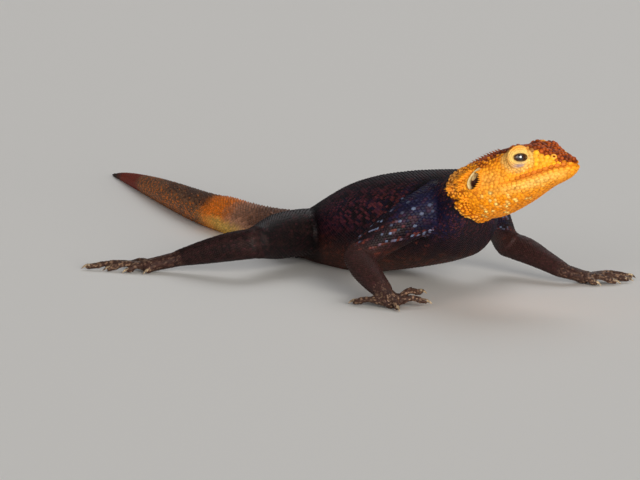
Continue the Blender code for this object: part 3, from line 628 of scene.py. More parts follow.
def body_grid():
    """Trunk and neck in one: the trunk's rings, then cubic blends from the last of them to the hood."""
    trunk = trunk_rings(np.linspace(0, len(TRUNK) - 1, TRUNK_RINGS))
    share = np.linspace(0, 1, NECK_RINGS)[1:, None, None]
    chest, hood = trunk[-1], hood_ring()
    out = np.array(SHOULDER_SLOPE) * NECK_PULL
    into = HEAD_FRAME[0] * NECK_PULL
    neck = (
        (2 * share**3 - 3 * share**2 + 1) * chest
        + (share**3 - 2 * share**2 + share) * out
        + (3 * share**2 - 2 * share**3) * hood
        + (share**3 - share**2) * into
    )
    inside = hood + HEAD_FRAME[0] * np.linspace(1.0, 4.0, 3)[:, None, None]
    middle = inside[-1].mean(axis=0)
    inside[1:] = middle + (inside[1:] - middle) * np.array([0.94, 0.8])[:, None, None]
    return on_floor(np.concatenate([trunk, neck, inside]))


def tail_grid():
    """The tail: round sections along its curve on the floor, drawn to a blunt point."""
    places = np.linspace(0, len(TAIL) - 1, TAIL_RINGS)
    x, y, tall, wide = curve(TAIL, places).T
    centres = np.stack([x, y, tall - TAIL_SINK], axis=1)
    way = unit(np.gradient(centres[:, :2], axis=0))
    blend = np.clip(places / 1.5, 0, 1)[:, None]
    way = unit(way * blend + np.array((-1.0, 0.0)) * (1 - blend))
    way = np.column_stack([way, np.zeros(len(way))])
    side = np.cross(way, UP)
    top = np.tile(UP, (len(way), 1))
    rings = rings_of(centres, side, top, wide, tall, tall, TAIL_ROUND, 2.0)
    start = rings[:1] + np.array((4.0, 0.0, 0.0))
    end = rings[-1:] * 0.4 + 0.6 * (centres[-1] + way[-1] * wide[-1])
    return on_floor(np.concatenate([start, rings, end]))


def tube_grid(stations, rows=60, around=48, blunt=0.8):
    """A limb: round sections along a curve through the stations, with a blunt round cap at each end."""
    table = curve(stations, np.linspace(0, len(stations) - 1, rows))
    centres, wide, tall = table[:, :3], table[:, 3], table[:, 4]
    way = unit(np.gradient(centres, axis=0))
    side = unit(np.cross(way, UP))
    top = np.cross(side, way)
    angle = np.radians(np.linspace(8, 86, CAP_RINGS))
    caps = []
    for end, sign in ((0, -1.0), (-1, 1.0)):
        reach = blunt * 0.5 * (wide[end] + tall[end])
        out = centres[end] + sign * way[end] * (reach * np.sin(angle))[:, None]
        ways = [np.tile(direction[end], (CAP_RINGS, 1)) for direction in (side, top)]
        caps.append([out, *ways, wide[end] * np.cos(angle), tall[end] * np.cos(angle)])
    rear = [column[::-1] for column in caps[0]]
    body = [centres, side, top, wide, tall]
    columns = [np.concatenate(three) for three in zip(rear, body, caps[1])]
    return on_floor(rings_of(*columns, columns[-1], around, 2.0))


def digit_stations(paw, digit):
    """Points along a toe: from inside the palm over its knuckle to its tip, each with its radius."""
    root = np.array((*digit[0], DIGIT_LIFT))
    tip = np.array(digit[1])
    middle = root * 0.55 + tip * 0.45
    middle[2] = digit[2] * 0.72
    late = root * 0.22 + tip * 0.78
    late[2] = 0.5 * (middle[2] + tip[2]) * 0.95
    begin = root * 0.6 + np.array(paw["palm"][1][:3]) * 0.4
    begin[2] = 2.1
    radii = (DIGIT_ROOT, DIGIT_ROOT, DIGIT_MIDDLE, DIGIT_MIDDLE, DIGIT_END)
    return np.column_stack([np.array((begin, root, middle, late, tip)), radii, radii])


def all_grids():
    """Every part's surface by name, each a grid of rings, and which way its scales point."""
    grids = {"body": (body_grid(), -1.0), "head": (head_grid(), -1.0), "tail": (tail_grid(), 1.0)}
    for name, stations in LIMBS.items():
        grids[name] = (tube_grid(stations), 1.0)
    for name, paw in PAWS.items():
        grids[name] = (tube_grid(paw["palm"], 24), 1.0)
        for number, digit in enumerate(paw["digits"]):
            grids[f"{name}_digit_{number}"] = (tube_grid(digit_stations(paw, digit), 40, 24), 1.0)
    return grids


def in_metres(points):
    """Points of the body's frame as the row of numbers that a mesh takes."""
    return ((points + SHIFT) * MM).astype(np.float32).ravel()


def mesh_of(name, points, faces, smooth=True):
    """An object of the scene from points in millimetres and groups of faces as corner numbers."""
    mesh = bpy.data.meshes.new(name)
    mesh.vertices.add(len(points))
    mesh.vertices.foreach_set("co", in_metres(points))
    sizes = np.concatenate([np.full(len(group), group.shape[1]) for group in faces])
    corners = np.concatenate([group.ravel() for group in faces])
    mesh.loops.add(len(corners))
    mesh.loops.foreach_set("vertex_index", corners.astype(np.int32))
    mesh.polygons.add(len(sizes))
    starts = np.concatenate([[0], np.cumsum(sizes)[:-1]])
    mesh.polygons.foreach_set("loop_start", starts.astype(np.int32))
    mesh.update(calc_edges=True)
    if smooth:
        mesh.shade_smooth()
    thing = bpy.data.objects.new(name, mesh)
    bpy.context.scene.collection.objects.link(thing)
    return thing


def ring_steps(around):
    """The numbers of the points round a ring, and of the point after each."""
    here = np.arange(around)
    return here, (here + 1) % around


def grid_faces(rows, around):
    """Quads between neighbouring points of a grid of closed rings."""
    here, after = ring_steps(around)
    low = (np.arange(rows - 1) * around)[:, None]
    quads = (low + here, low + after, low + around + after, low + around + here)
    return np.stack([corner.ravel() for corner in quads], axis=1)


def outward(points, quads):
    """True if the faces of a grid look away from its middle, on the whole."""
    corner = points[quads]
    facing = np.cross(corner[:, 1] - corner[:, 0], corner[:, 2] - corner[:, 0])
    return ((corner[:, 0] - points.mean(axis=0)) * facing).sum() > 0


def closed_shell(grid):
    """Points and faces of a grid of rings with a fan of triangles over each end."""
    rows, around = grid.shape[:2]
    points = np.concatenate([grid.reshape(-1, 3), grid[:1].mean(axis=1), grid[-1:].mean(axis=1)])
    quads = grid_faces(rows, around)
    here, after = ring_steps(around)
    last = (rows - 1) * around
    low = np.stack([np.full(around, rows * around), after, here], axis=1)
    high = np.stack([np.full(around, rows * around + 1), last + here, last + after], axis=1)
    fans = np.concatenate([low, high])
    if not outward(points, quads):
        return points, [quads[:, ::-1], fans[:, ::-1]]
    return points, [quads, fans]


def smoothed(points, edges, rounds, pull=0.5, push=-0.53):
    """Points drawn to the mean of their neighbours and pushed back, so that bumps go and size stays."""
    count = np.bincount(edges.ravel(), minlength=len(points))[:, None]
    for step in [pull, push] * rounds:
        total = np.zeros_like(points)
        for axis in range(3):
            total[:, axis] = np.bincount(edges[:, 0], points[edges[:, 1], axis], len(points))
            total[:, axis] += np.bincount(edges[:, 1], points[edges[:, 0], axis], len(points))
        points = points + step * (total / np.maximum(count, 1) - points)
    return points


def numbers_of(items, key, width, kind=np.float32):
    """One property of all of a mesh's points or edges, a row for each."""
    values = np.empty(len(items) * width, kind)
    items.foreach_get(key, values)
    return values.reshape(-1, width)


def mesh_arrays(mesh):
    """Points in millimetres of the body's frame, normals and edges of a mesh."""
    points = numbers_of(mesh.vertices, "co", 3).astype(float) / MM - SHIFT
    normals = numbers_of(mesh.vertices, "normal", 3).astype(float)
    return points, normals, numbers_of(mesh.edges, "vertices", 2, np.int32)


def hood_edge(local):
    """How far before the hood's rear border points of the head's frame lie, negative behind it."""
    table = np.array(HOOD_BORDER)
    border = np.interp(local[:, 2], table[:, 0], table[:, 1])
    border = border * (1.0 - 0.22 * rise(local[:, 1], -3.0, 5.0) * rise(-border, 2.5, 6.0))
    ripple = 0.35 * np.sin(local[:, 2] * 2.3) + 0.2 * np.sin(local[:, 2] * 5.1 + 1.0)
    return local[:, 0] - border - ripple


def ear_reach(local):
    """1 on the ear's oval, less inside it: its long way leans forward at the top."""
    short, long = turned(local[:, 0] - EAR[0], local[:, 2] - EAR[1], EAR_LEAN)
    return np.hypot(short / EAR_WIDE, long / EAR_LONG)


def eye_local(local):
    """Points of the head's frame from the middle of the nearer eye, in that eye's own directions."""
    along, out = turned(local[:, 0] - EYE[0], np.abs(local[:, 1]) - EYE[1], EYE_TURN)
    return np.stack([along, out, local[:, 2] - EYE[2]], axis=1)


def opening_reach(eye):
    """1 on the outline of the eye's opening, less inside it."""
    along, across = turned(eye[:, 0], eye[:, 2], -OPENING_TILT)
    return np.hypot(along / (0.5 * OPENING_LENGTH), across / (0.5 * OPENING_HEIGHT))


def lid_surround(local):
    """1 on the head close round the lids, falling to 0 away from them."""
    away = np.linalg.norm(eye_local(local), axis=1) - LID_RADIUS
    return rise(LID_SURROUND - away, 0.0, 1.1)


def mouth_line(forward):
    """Height of the line of the mouth at distances forward in the head's frame."""
    return head_section(np.clip(forward, HEAD_SECTIONS[0][0], HEAD_SECTIONS[-1][0]))[:, 2]


def ball_grid(centre, radius):
    """A ball as rings: the radius times cosine and sine of the height's angle, round the centre."""
    polar = np.linspace(-1.5, 1.5, BALL_RINGS)[:, None]
    turn = angles_round(BALL_ROUND)[None]
    high = np.sin(polar) * np.ones_like(turn)
    ring = np.stack([np.cos(polar) * np.cos(turn), np.cos(polar) * np.sin(turn), high], axis=-1)
    return np.asarray(centre) + radius * ring


def make_skin(grids):
    """One closed skin over every part, blended where they meet, with mouth, ears and hood formed."""
    balls = [ball_grid(on_side(EYE, side), LID_RADIUS) for side, _ in SIDES]
    skin = join_shells("skin", [grid for grid, _ in grids.values()] + balls)
    step = skin.modifiers.new("Blend", "REMESH")
    step.mode = "VOXEL"
    step.voxel_size = SKIN_GRAIN * MM
    step.use_smooth_shade = True
    graph = bpy.context.evaluated_depsgraph_get()
    mesh = bpy.data.meshes.new_from_object(skin.evaluated_get(graph))
    skin.modifiers.clear()
    skin.data = mesh
    split_head(mesh)
    points, _, edges = mesh_arrays(mesh)
    write_points(mesh, smoothed(points, edges, SMOOTH_ROUNDS))
    points, normals, _ = mesh_arrays(mesh)
    points = points - normals * COAT_DEPTH * rise(points[:, 2], 0.0, 1.0)[:, None]
    points = form_lids(form_head(points, normals))
    points[:, 2] = np.maximum(points[:, 2], 0.02)
    write_points(mesh, points)
    mesh.shade_smooth()
    return skin


def split_head(mesh):
    """Halves the edges of the head's faces, where the skin needs twice as fine a mesh."""
    work = bmesh.new()
    work.from_mesh(mesh)
    places = np.array([vertex.co[:] for vertex in work.verts]) / MM - SHIFT
    fine = head_local(places)[:, 0] > FINE_SKIN_FROM
    edges = [edge for edge in work.edges if fine[edge.verts[0].index] and fine[edge.verts[1].index]]
    bmesh.ops.subdivide_edges(work, edges=edges, cuts=1, use_grid_fill=True)
    work.to_mesh(mesh)
    work.free()
    mesh.update()


def write_points(mesh, points):
    """Puts points of the body's frame, in millimetres, into a mesh."""
    mesh.vertices.foreach_set("co", in_metres(points))
    mesh.update()


def form_head(points, normals):
    """Moves the skin of the head: a groove at the mouth, a cup for each ear and a fold at the hood.

    Each point moves along its normal by bells of its distance from those lines.
    """
    local = head_local(points)
    x, y, z = local.T
    near = (x > -12.0) & (np.abs(y) < 14.0) & (z > -15.0)
    gap = z - mouth_line(x)
    on = rise(x, MOUTH_CORNER - 0.5, MOUTH_CORNER + 2.5) * near
    deep = MOUTH_DEPTH * (0.35 + 0.65 * rise(x, 9.0, 15.0)) * rise(27.3 - x, 0.0, 2.0)
    move = on * (0.1 * (bump(gap, 0.8, 0.5) + bump(gap, -0.8, 0.5)) - deep * bump(gap, 0.0, 0.3))
    out = (head_local(points + normals) - local)[:, 1] * np.sign(y)
    cup = np.clip(1.0 - ear_reach(local) ** 2, 0.0, 1.0)
    move -= near * (out > 0.35) * EAR_DEPTH * cup**0.3
    rear = hood_edge(local)
    low = near * rise(-z, -4.5, -2.5)
    move += low * (0.55 * bump(rear, 1.0, 1.3) - 0.45 * bump(rear, -0.7, 0.8))
    move += near * (0.3 * bump(x, -6.2, 1.0) * bump(z, -8.4, 1.6) - 0.55 * fold_crease(x, z))
    return points + normals * move[:, None]


def fold_crease(x, z):
    """The crease that runs forward and down from the notch of the hood's rear border."""
    return bump(z + 4.6 + 0.42 * (x + 6.0), 0.0, 0.5) * bump(x, -5.6, 2.2)


def form_lids(points):
    """Sinks the skin just under the lids, and behind the eye inside their opening."""
    local = head_local(points)
    eye = eye_local(local)
    reach = np.maximum(np.linalg.norm(eye, axis=1), 1e-9)
    front = rise(eye[:, 1] / reach, 0.25, 0.5) * rise(LID_RADIUS + 0.05 - reach, 0.0, 0.25)
    under = LID_RADIUS - COAT_DEPTH - 0.15
    behind = EYE_RADIUS - 0.4
    wanted = behind + (under - behind) * rise(opening_reach(eye), 1.25, 1.7)
    share = 1.0 + (np.minimum(wanted / reach, 1.0) - 1.0) * front
    middle = np.tile(EYE, (len(local), 1))
    middle[:, 1] *= np.sign(local[:, 1])
    return head_point(middle + (local - middle) * share[:, None])


def build_tree(thing):
    """The skin as a tree of faces, with each face's own smooth normal."""
    mesh = thing.data
    points, normals, _ = mesh_arrays(mesh)
    polygons = [tuple(face.vertices) for face in mesh.polygons]
    tree = BVHTree.FromPolygons(points.tolist(), polygons)
    first = np.array([corners[0] for corners in polygons])
    third = np.array([corners[2] for corners in polygons])
    return tree, unit(normals[first] + normals[third])


def seated(points, tree, facing, limit):
    """The nearest places of the skin and their normals, and which points lie within the limit of it."""
    found = [tree.find_nearest(point) for point in points.tolist()]
    places = np.array([hit[0] for hit in found], float)
    normals = facing[[hit[2] for hit in found]]
    away = np.array([hit[3] for hit in found])
    return places, normals, away < limit


def grid_at(grid, row, turn):
    """Points of a grid at places between its rings and columns, each the mean of the four beside it."""
    rows, around = grid.shape[:2]
    row = np.clip(row, 0, rows - 1.001)
    i = row.astype(int)
    a = (row - i)[:, None]
    column = (turn % 1.0) * around
    j = column.astype(int) % around
    b = (column - np.floor(column))[:, None]
    k = (j + 1) % around
    low = (1 - b) * grid[i, j] + b * grid[i, k]
    high = (1 - b) * grid[i + 1, j] + b * grid[i + 1, k]
    return (1 - a) * low + a * high


def scale_rows(grid, around, stretch, least=0.4):
    """Staggered rows of scales: as many round every ring, rows about as far apart as a scale's width."""
    step = np.linalg.norm(np.diff(grid, axis=0), axis=2).mean(axis=1)
    girth = np.linalg.norm(np.roll(grid, -1, axis=1) - grid, axis=2).sum(axis=1)
    width = girth / around
    pitch = np.maximum(0.5 * (width[1:] + width[:-1]), least) * stretch
    count = np.concatenate([[0.0], np.cumsum(step / pitch)])
    number = int(count[-1])
    rows = np.interp(np.arange(number) + 0.5, count, np.arange(len(grid)))
    turn = (np.arange(around)[None] + 0.5 * (np.arange(number)[:, None] % 2)) / around
    row = np.repeat(rows, around)
    size = np.interp(row, np.arange(len(grid)), width)
    return row, turn.ravel(), size, size > 0.55 * least


# Shapes of one scale: points along, across and up, and faces as triangles and quads.
KEELED = (
    np.array(
        (
            (-0.6, 0.0, -0.2),
            (-0.25, -0.46, -0.16),
            (-0.25, 0.0, 0.42),
            (-0.25, 0.46, -0.16),
            (0.18, -0.5, -0.14),
            (0.18, 0.0, 0.82),
            (0.18, 0.5, -0.14),
            (0.5, -0.24, 0.18),
            (0.66, 0.0, 1.0),
            (0.5, 0.24, 0.18),
            (0.5, -0.24, -0.4),
            (0.66, 0.0, -0.4),
            (0.5, 0.24, -0.4),
        )
    ),
    np.array(((0, 1, 2), (0, 2, 3), (4, 10, 7), (6, 9, 12))),
    np.array(((1, 4, 5, 2), (2, 5, 6, 3), (4, 7, 8, 5), (5, 8, 9, 6), (7, 10, 11, 8), (8, 11, 12, 9))),
)


def dome_shape(sides=6, rings=((0.32, 0.86), (0.56, -0.25)), square=2.0):
    """A low dome: a middle point and rings of sides, each with its radius and height.

    A higher square draws its outline from a circle towards a box with rounded corners.
    """
    angle = angles_round(sides) + 0.3
    stretch = (np.abs(np.cos(angle)) ** square + np.abs(np.sin(angle)) ** square) ** (-1 / square)
    points = [np.array(((0.0, 0.0, 1.0),))]
    for radius, height in rings:
        along, across = radius * stretch * np.cos(angle), radius * stretch * np.sin(angle)
        points.append(np.stack([along, across, np.full(sides, height)], axis=1))
    here, after = ring_steps(sides)
    fan = np.stack([np.zeros(sides, int), 1 + here, 1 + after], axis=1)
    quads = []
    for ring in range(len(rings) - 1):
        low, high = 1 + ring * sides, 1 + (ring + 1) * sides
        quads.append(np.stack([low + here, high + here, high + after, low + after], axis=1))
    return np.concatenate(points), fan, np.concatenate(quads)


def spine_shape(sides=5):
    """A spine: a round root sunk in the skin, a waist, and a tip that leans back along its way."""
    angle = angles_round(sides)
    rings = ((0.5, 0.0, -0.25), (0.42, 0.12, 0.25), (0.22, 0.45, 0.65))
    points = []
    for radius, lean, height in rings:
        along = lean + radius * np.cos(angle)
        points.append(np.stack([along, radius * np.sin(angle), np.full(sides, height)], axis=1))
    points.append(np.array(((0.95, 0.0, 1.0),)))
    here, after = ring_steps(sides)
    quads = grid_faces(len(rings), sides)
    low = 2 * sides
    fan = np.stack([low + here, low + after, np.full(sides, 3 * sides)], axis=1)
    return np.concatenate(points), fan, quads


DOME = dome_shape()
PLATE = dome_shape(10, ((0.3, 0.97), (0.46, 0.62), (0.53, -0.4)), 3.6)
BELLY = dome_shape(6, ((0.42, 0.7), (0.56, -0.6)), 1.5)
SPINE = spine_shape()


def scales_of(shape, places, normals, ways, wide, length, height):
    """Copies of one scale's shape: each point is its place plus its shares along, across and up."""
    along = unit(ways - (ways * normals).sum(axis=1, keepdims=True) * normals)
    across = np.cross(normals, along)
    local, fan, quads = shape
    points = (
        places[:, None]
        + along[:, None] * (length[:, None] * local[None, :, 0])[..., None]
        + across[:, None] * (wide[:, None] * local[None, :, 1])[..., None]
        + normals[:, None] * (height[:, None] * local[None, :, 2])[..., None]
    )
    start = (np.arange(len(places)) * len(local))[:, None, None]
    return points, (fan[None] + start).reshape(-1, 3), (quads[None] + start).reshape(-1, 4)


class Coat:
    """A piece made of many scales: its points, faces, colours and each scale's patch of the unwrap."""

    def __init__(self, name):
        self.name = name
        self.points, self.fans, self.quads, self.colours, self.patches = [], [], [], [], []
        self.roots, self.root_colours = [], []
        self.count = 0

    def add(self, shape, places, normals, ways, sizes, colours, patches, shade=0.35):
        """Adds copies of one shape; a scale gets painted shade at its foot, darker and redder, by the shade.
        """
        wide, length, height = sizes
        points, fans, quads = scales_of(shape, places, normals, ways, wide, length, height)
        points[..., 2] = np.maximum(points[..., 2], 0.0)
        local = shape[0]
        # Painted shade: the tone falls from 1 at the scale's top to 1 - shade at its foot.
        tone = 1.0 - shade + shade * rise(local[:, 2], -0.2, 0.85)
        tone = tone[:, None] ** REDDER
        self.points.append(points.reshape(-1, 3))
        self.fans.append(fans + self.count)
        self.quads.append(quads + self.count)
        self.count += points.shape[0] * points.shape[1]
        self.colours.append((colours[:, None] * tone[None]).reshape(-1, 3))
        spot = patches[:, None] + PATCH * 0.5 * local[None, :, :2]
        self.patches.append(spot.reshape(-1, 2))
        self.roots.append(places)
        self.root_colours.append(colours)

    def finish(self, material, slot):
        """The joined mesh as a piece of the scene."""
        faces = [np.concatenate(self.fans), np.concatenate(self.quads)]
        thing = mesh_of(self.name, np.concatenate(self.points), faces)
        paint(thing, np.concatenate(self.colours))
        patches = np.concatenate(self.patches)
        corners = np.concatenate([group.ravel() for group in faces])
        layer = thing.data.uv_layers.new(name="OFBake")
        layer.data.foreach_set("uv", patches[corners].astype(np.float32).ravel())
        dress(thing, material)


def paint(thing, colours):
    """Writes a colour for every point of a mesh in its markings attribute."""
    values = np.ones((len(colours), 4), np.float32)
    values[:, :3] = np.clip(colours, 0.0, 1.0)
    layer = thing.data.color_attributes.new("markings", "FLOAT_COLOR", "POINT")
    layer.data.foreach_set("color", values.ravel())


def dress(thing, material, replaces=()):
    """A piece's material, its body and the nodes that it stands for."""
    thing.data.materials.clear()
    thing.data.materials.append(material)
    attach(thing, "root")
    if replaces:
        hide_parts(*replaces)


def mix(base, colour, weight):
    """Colours moved towards one colour, or as many, by a weight for each."""
    return base + (np.asarray(colour) - base) * np.asarray(weight)[:, None]


def all_over(tint, count):
    """One screen colour for as many points."""
    return np.tile(linear(tint), (count, 1))


def washes(colours, *layers):
    """Layers of paint over the colours, in order: each is a screen colour and its weight everywhere."""
    for tint, weight in layers:
        colours = mix(colours, linear(tint), weight)
    return colours


def wobble(points, scale, seed=0):
    """Smooth noise from -1 to 1: the mean of sines that run in several directions."""
    draw = np.random.default_rng(seed)
    total = np.zeros(len(points))
    for _ in range(7):
        way = draw.normal(size=3)
        way *= (0.7 + 0.8 * draw.random()) / (np.linalg.norm(way) * scale)
        total += np.sin(points @ way * 2 * math.pi + draw.random() * 6.28)
    return total / 3.2


def head_colours(points):
    """The hood: orange, yellow before the eye, rows of cream spots on the jaw, rust brown on the crown.

    Each band is a product of bells and smooth steps of the place on the head, frayed by noise.
    """
    local = head_local(points)
    x, side, z = either_side(local)
    noise = wobble(points, 3.0, 1)
    fine = wobble(points, 1.1, 2)
    below = mouth_line(x) - z
    # Painted shade: a brown band on the upper lip just over the mouth.
    lip_shade = rise(0.82 - np.abs(below + 0.5) + 0.02 * (x - 20), 0.3, 0.5)
    lip_shade *= rise(x, 10.5, 14.5) * rise(26.4 - x, 0, 1)
    # Painted shade along the line of the mouth.
    mouth = bump(below, 0.0, 0.25) * rise(x, MOUTH_CORNER - 1.0, MOUTH_CORNER + 1.0)
    streak = bump(z + 0.95, 0.0, 0.3) * bump(x, 6.8, 1.6) * rise(side, 5, 8)
    over = above_crown_edge(x, side, z)
    crown = rise(over + 0.3 * fine + 0.35 * noise, -0.35, 0.35)
    temple = bump(x, 4.0, 5.5) * bump(z, 4.0, 1.7) * rise(side, 2, 5)
    nape = bump(x, -7.0, 3.2) * rise(z, -4.5, -1.0)
    spots_behind = bump(z, -4.4, 1.5) * bump(x, 1.2, 3.2) * rise(side, 5, 8)
    hem = bump(hood_edge(local), 0.4, 0.5) * rise(side, 3, 6)
    return washes(
        all_over(ORANGE, len(points)),
        (ORANGE_DEEP, 0.8 * rise(below, 2.5, 6.0)),
        (ORANGE_PALE, 0.75 * bump(z, -0.4, 2.2) * bump(x, 4.5, 5.0) * rise(side, 4, 8)),
        (LORE_YELLOW, 0.9 * rise(x, 15, 18) * rise(z, 0.4, 1.4)),
        # Painted highlight: a pale band along the lower lip.
        (CREAM, 0.6 * bump(below, 1.9, 1.2) * bump(x, 17, 9.0) * rise(side, 1, 3)),
        (CREAM, 0.95 * jaw_spots(x, side, below)),
        (LIP_SHADE_BROWN, 0.85 * lip_shade),
        (RUST, 0.75 * mouth),
        (RUST, 0.6 * streak),
        (RUST, 0.8 * temple * rise(fine, -0.35, 0.45)),
        (RUST, 0.95 * crown),
        (RUST_DARK, 0.6 * crown * rise(noise + 0.4 * fine, 0.0, 0.9)),
        (RUST_DARK, 0.6 * crown * bump(x, 8.0, 3.0)),
        (HOOD_TAN, 0.85 * nape),
        (RUST, 0.3 * nape * rise(fine, 0.0, 0.5)),
        (RUST_DARK, 0.7 * rise(z, 3.0, 5.0) * rise(-x, 2.5, 6.0)),
        (RUST, 0.65 * spots_behind * rise(fine, 0.3, 0.7)),
        (CREAM, 0.45 * hem * rise(-z, 5.5, 7.5) * rise(12.0 + z, 0, 1.5)),
        # Painted shade in the crease below the notch of the hood's border.
        (RUST_DARK, 0.75 * fold_crease(x, z)),
        (LID_PALE, 0.72 * lid_surround(local) * rise(0.1 - over, 0, 0.6)),
    )


def above_crown_edge(x, side, z):
    """How far above the edge of the rust brown crown points of the head lie, its middle raised."""
    middle = 2.8 * rise(4.8 - side, 0.0, 2.4) * rise(z, 0.5, 2.0)
    brow = 3.0 * rise(5.4 - side, 0.0, 0.8) * rise(z, 4.4, 5.0)
    return z + middle + brow - np.interp(x, *CROWN_EDGE)


def jaw_spots(x, side, below):
    """Rows of pale spots on the jaw, each a cosine of the distance forward, broken by a slower one."""
    total = np.zeros(len(x))
    for depth, pitch, shift, first, last in JAW_ROWS:
        bend = 0.45 * np.sin(x * 0.9 + 3.0 * shift)
        place = np.cos(2 * math.pi * (x + shift + bend) / pitch)
        broken = rise(np.sin(x * 1.37 + 5.0 * shift), -0.9, -0.3)
        here = bump(below + 0.06 * (x - 8) + 0.3 * bend, depth, 0.48)
        spot = rise(place, 0.3, 0.7) * broken * here
        total = np.maximum(total, spot * rise(x, first - 1, first) * rise(last - x, 0, 1))
    return total * rise(side, 0.5, 2.0)


def shoulder_colours(colours, points):
    """Blue black over the shoulder and the upper arm, with painted glints, pale highlights, in it and red
    specks below.

    The blue is a bell round the shoulder, and the painted glints and the specks stand in slanting lines, a
    cosine.
    """
    x, side, z = either_side(points)
    away = np.stack([(x - 56.0) / np.where(x > 56.0, 12.0, 8.0), (side - 13.0) / 9.0, (z - 23.5) / 7.0])
    upper = bump(np.linalg.norm(away, axis=0), 0.0, 1.0) * rise(side, 1.0, 6.0)
    speck = wobble(points, 0.55, 12)
    line = np.cos((z - 0.55 * (x - 50.0)) * 2 * math.pi / 2.4)
    arm = rise(side, 9.0, 13.0) * rise(x, 44, 49) * rise(64 - x, 0, 4) * rise(z, 10, 13)
    low = arm * rise(21.0 + 0.4 * (x - 54) - z, -1.0, 3.0) * rise(line, 0.0, 0.7)
    painted_glint = arm * rise(line, 0.2, 0.7) * rise(wobble(points, 0.42, 13), 0.36, 0.75) * rise(z, 13, 17)
    return washes(
        colours,
        (ARM_BLUE, 0.9 * rise(upper + 0.15 * speck, 0.15, 0.7)),
        (ARM_BLUE, 0.5 * rise(upper, 0.05, 0.3) * rise(speck, -0.2, 0.4)),
        (BODY_RED, 0.6 * low * rise(speck, 0.0, 0.5)),
        # Painted highlights: pale glints on single scales.
        (ARM_PAINTED_GLINT, 0.7 * painted_glint * rise(26.5 - z, 0, 2)),
    )


def crease_shade_by_limbs(points):
    """Painted shade on the trunk: 1 in the crease round the root of each arm and thigh, falling off in 1 mm
    or so.

    The crease lies where the distance to the middle of the limb is its half width and a little. It
    fades before the shoulder.
    """
    crease_shade = np.zeros(len(points))
    for name, stations in LIMBS.items():
        if name.startswith(("upper_arm", "thigh")):
            line = curve(np.array(stations), np.linspace(0, len(stations) - 1, 40))
            away = np.linalg.norm(points[:, None] - line[None, :, :3], axis=2) - line[:, 3:].max(axis=1)
            crease_shade = np.maximum(crease_shade, bump(away.min(axis=1), 0.7, 1.5))
    return crease_shade * rise(61.0 - points[:, 0], 0.0, 5.0)


def trunk_colours(points):
    """Blackish purple, redder on the flank and brown below, and the hood's colours before its border."""
    local = head_local(points)
    noise = wobble(points, 3.2, 3)
    speck = wobble(points, 0.6, 4)
    x, _, z = points.T
    low = rise(13.0 - z + 1.5 * noise, 0.0, 8.0)
    flank = bump(z - 0.12 * (x - 30), 20.0, 6.5) * rise(x, 0, 20)
    shoulder = rise(x, 48, 60) * rise(z, 24, 30)
    colours = washes(
        all_over(BODY_DARK, len(points)),
        (BODY_BROWN, 0.8 * low),
        (BODY_PURPLE, 0.75 * flank * rise(speck + 0.5 * noise, -0.2, 0.5)),
        (ARM_BLUE, 0.4 * flank * rise(-speck + 0.5 * noise, 0.1, 0.5)),
        (BODY_RED, 0.4 * (flank * rise(x, 24, 46) + low) * rise(speck, 0.3, 0.6)),
    )
    colours = shoulder_colours(colours, points)
    colours = washes(colours, (BODY_RED, 0.6 * shoulder * rise(speck + 0.4 * noise, 0.1, 0.7)))
    # Painted shade in the creases round the roots of the arms and thighs.
    colours = mix(colours, 0.3 * linear(BODY_DARK), 0.85 * crease_shade_by_limbs(points))
    near = (local[:, 0] > -14) & (local[:, 2] > -15)
    return mix(colours, head_colours(points), rise(hood_edge(local), -0.15, 0.25) * near)


def tail_colours(points, along):
    """Beige, then orange over a yellow belly, mottled olive, orange red darkened with painted shade, and a
    dark tip.
    """
    noise = wobble(points, 4.0, 5)
    fine = wobble(points, 1.7, 6)
    spots = wobble(points, 2.3, 9)
    top = rise(points[:, 2], 4.0, 9.0)
    stops, tints = zip(*TAIL_BANDS)
    bands = [np.interp(along + 2.5 * noise, stops, light) for light in linear(tints).T]
    start = rise(52 - along, 0, 36)
    below = rise(6.4 - points[:, 2] + 0.6 * noise, 0.0, 2.8)
    middle = rise(along, 60, 67) * rise(150 - along, 0, 6)
    return washes(
        np.stack(bands, axis=1),
        (BODY_BROWN, 0.75 * start * rise(top + 0.4 * noise, 0.2, 0.9)),
        (TAIL_BROWN, 0.4 * start * rise(fine, 0.1, 0.7)),
        (TAIL_YELLOW, 0.9 * below * bump(along, 45, 15)),
        (TAIL_BROWN, 0.6 * middle * rise(fine, 0.0, 0.6)),
        (TAIL_ORANGE, 0.8 * middle * rise(spots - 0.35 * top, 0.22, 0.5)),
        (TAIL_BROWN, 0.85 * rise(along, 54, 66) * rise(top + 0.3 * fine, 0.55, 0.95)),
    )


def limb_colours(name, points):
    """Brown forearms and shins, blue black upper arms with painted pale glints, black thighs, speckled toes.
    """
    noise = wobble(points, 2.4, 7)
    fine = wobble(points, 0.9, 8)
    colours = all_over(LIMB_BROWN, len(points))
    if name.startswith("upper_arm"):
        colours = washes(colours, (BODY_DARK, rise(points[:, 2], 12, 16)))
        colours = shoulder_colours(colours, points)
    if name.startswith("thigh"):
        colours = all_over(THIGH_BLACK, len(points))
        colours = washes(colours, (LIMB_BROWN, 0.35 * rise(noise, 0.0, 0.9)))
    if name.startswith("shank"):
        colours = washes(colours, (THIGH_BLACK, 0.35 + 0.4 * rise(-noise, -0.4, 0.6)))
    if name.startswith(("hand", "foot")):
        toes = 1.0 if "digit" in name else 0.3
        speckle = 0.75 * toes * rise(fine + 0.2 * noise, 0.15, 0.6)
        colours = washes(colours, (TOE_BROWN, np.full(len(points), 0.7 * toes)), (TOE_PALE, speckle))
    return washes(colours, (BODY_PURPLE, 0.15 * rise(fine, 0.2, 0.9)))


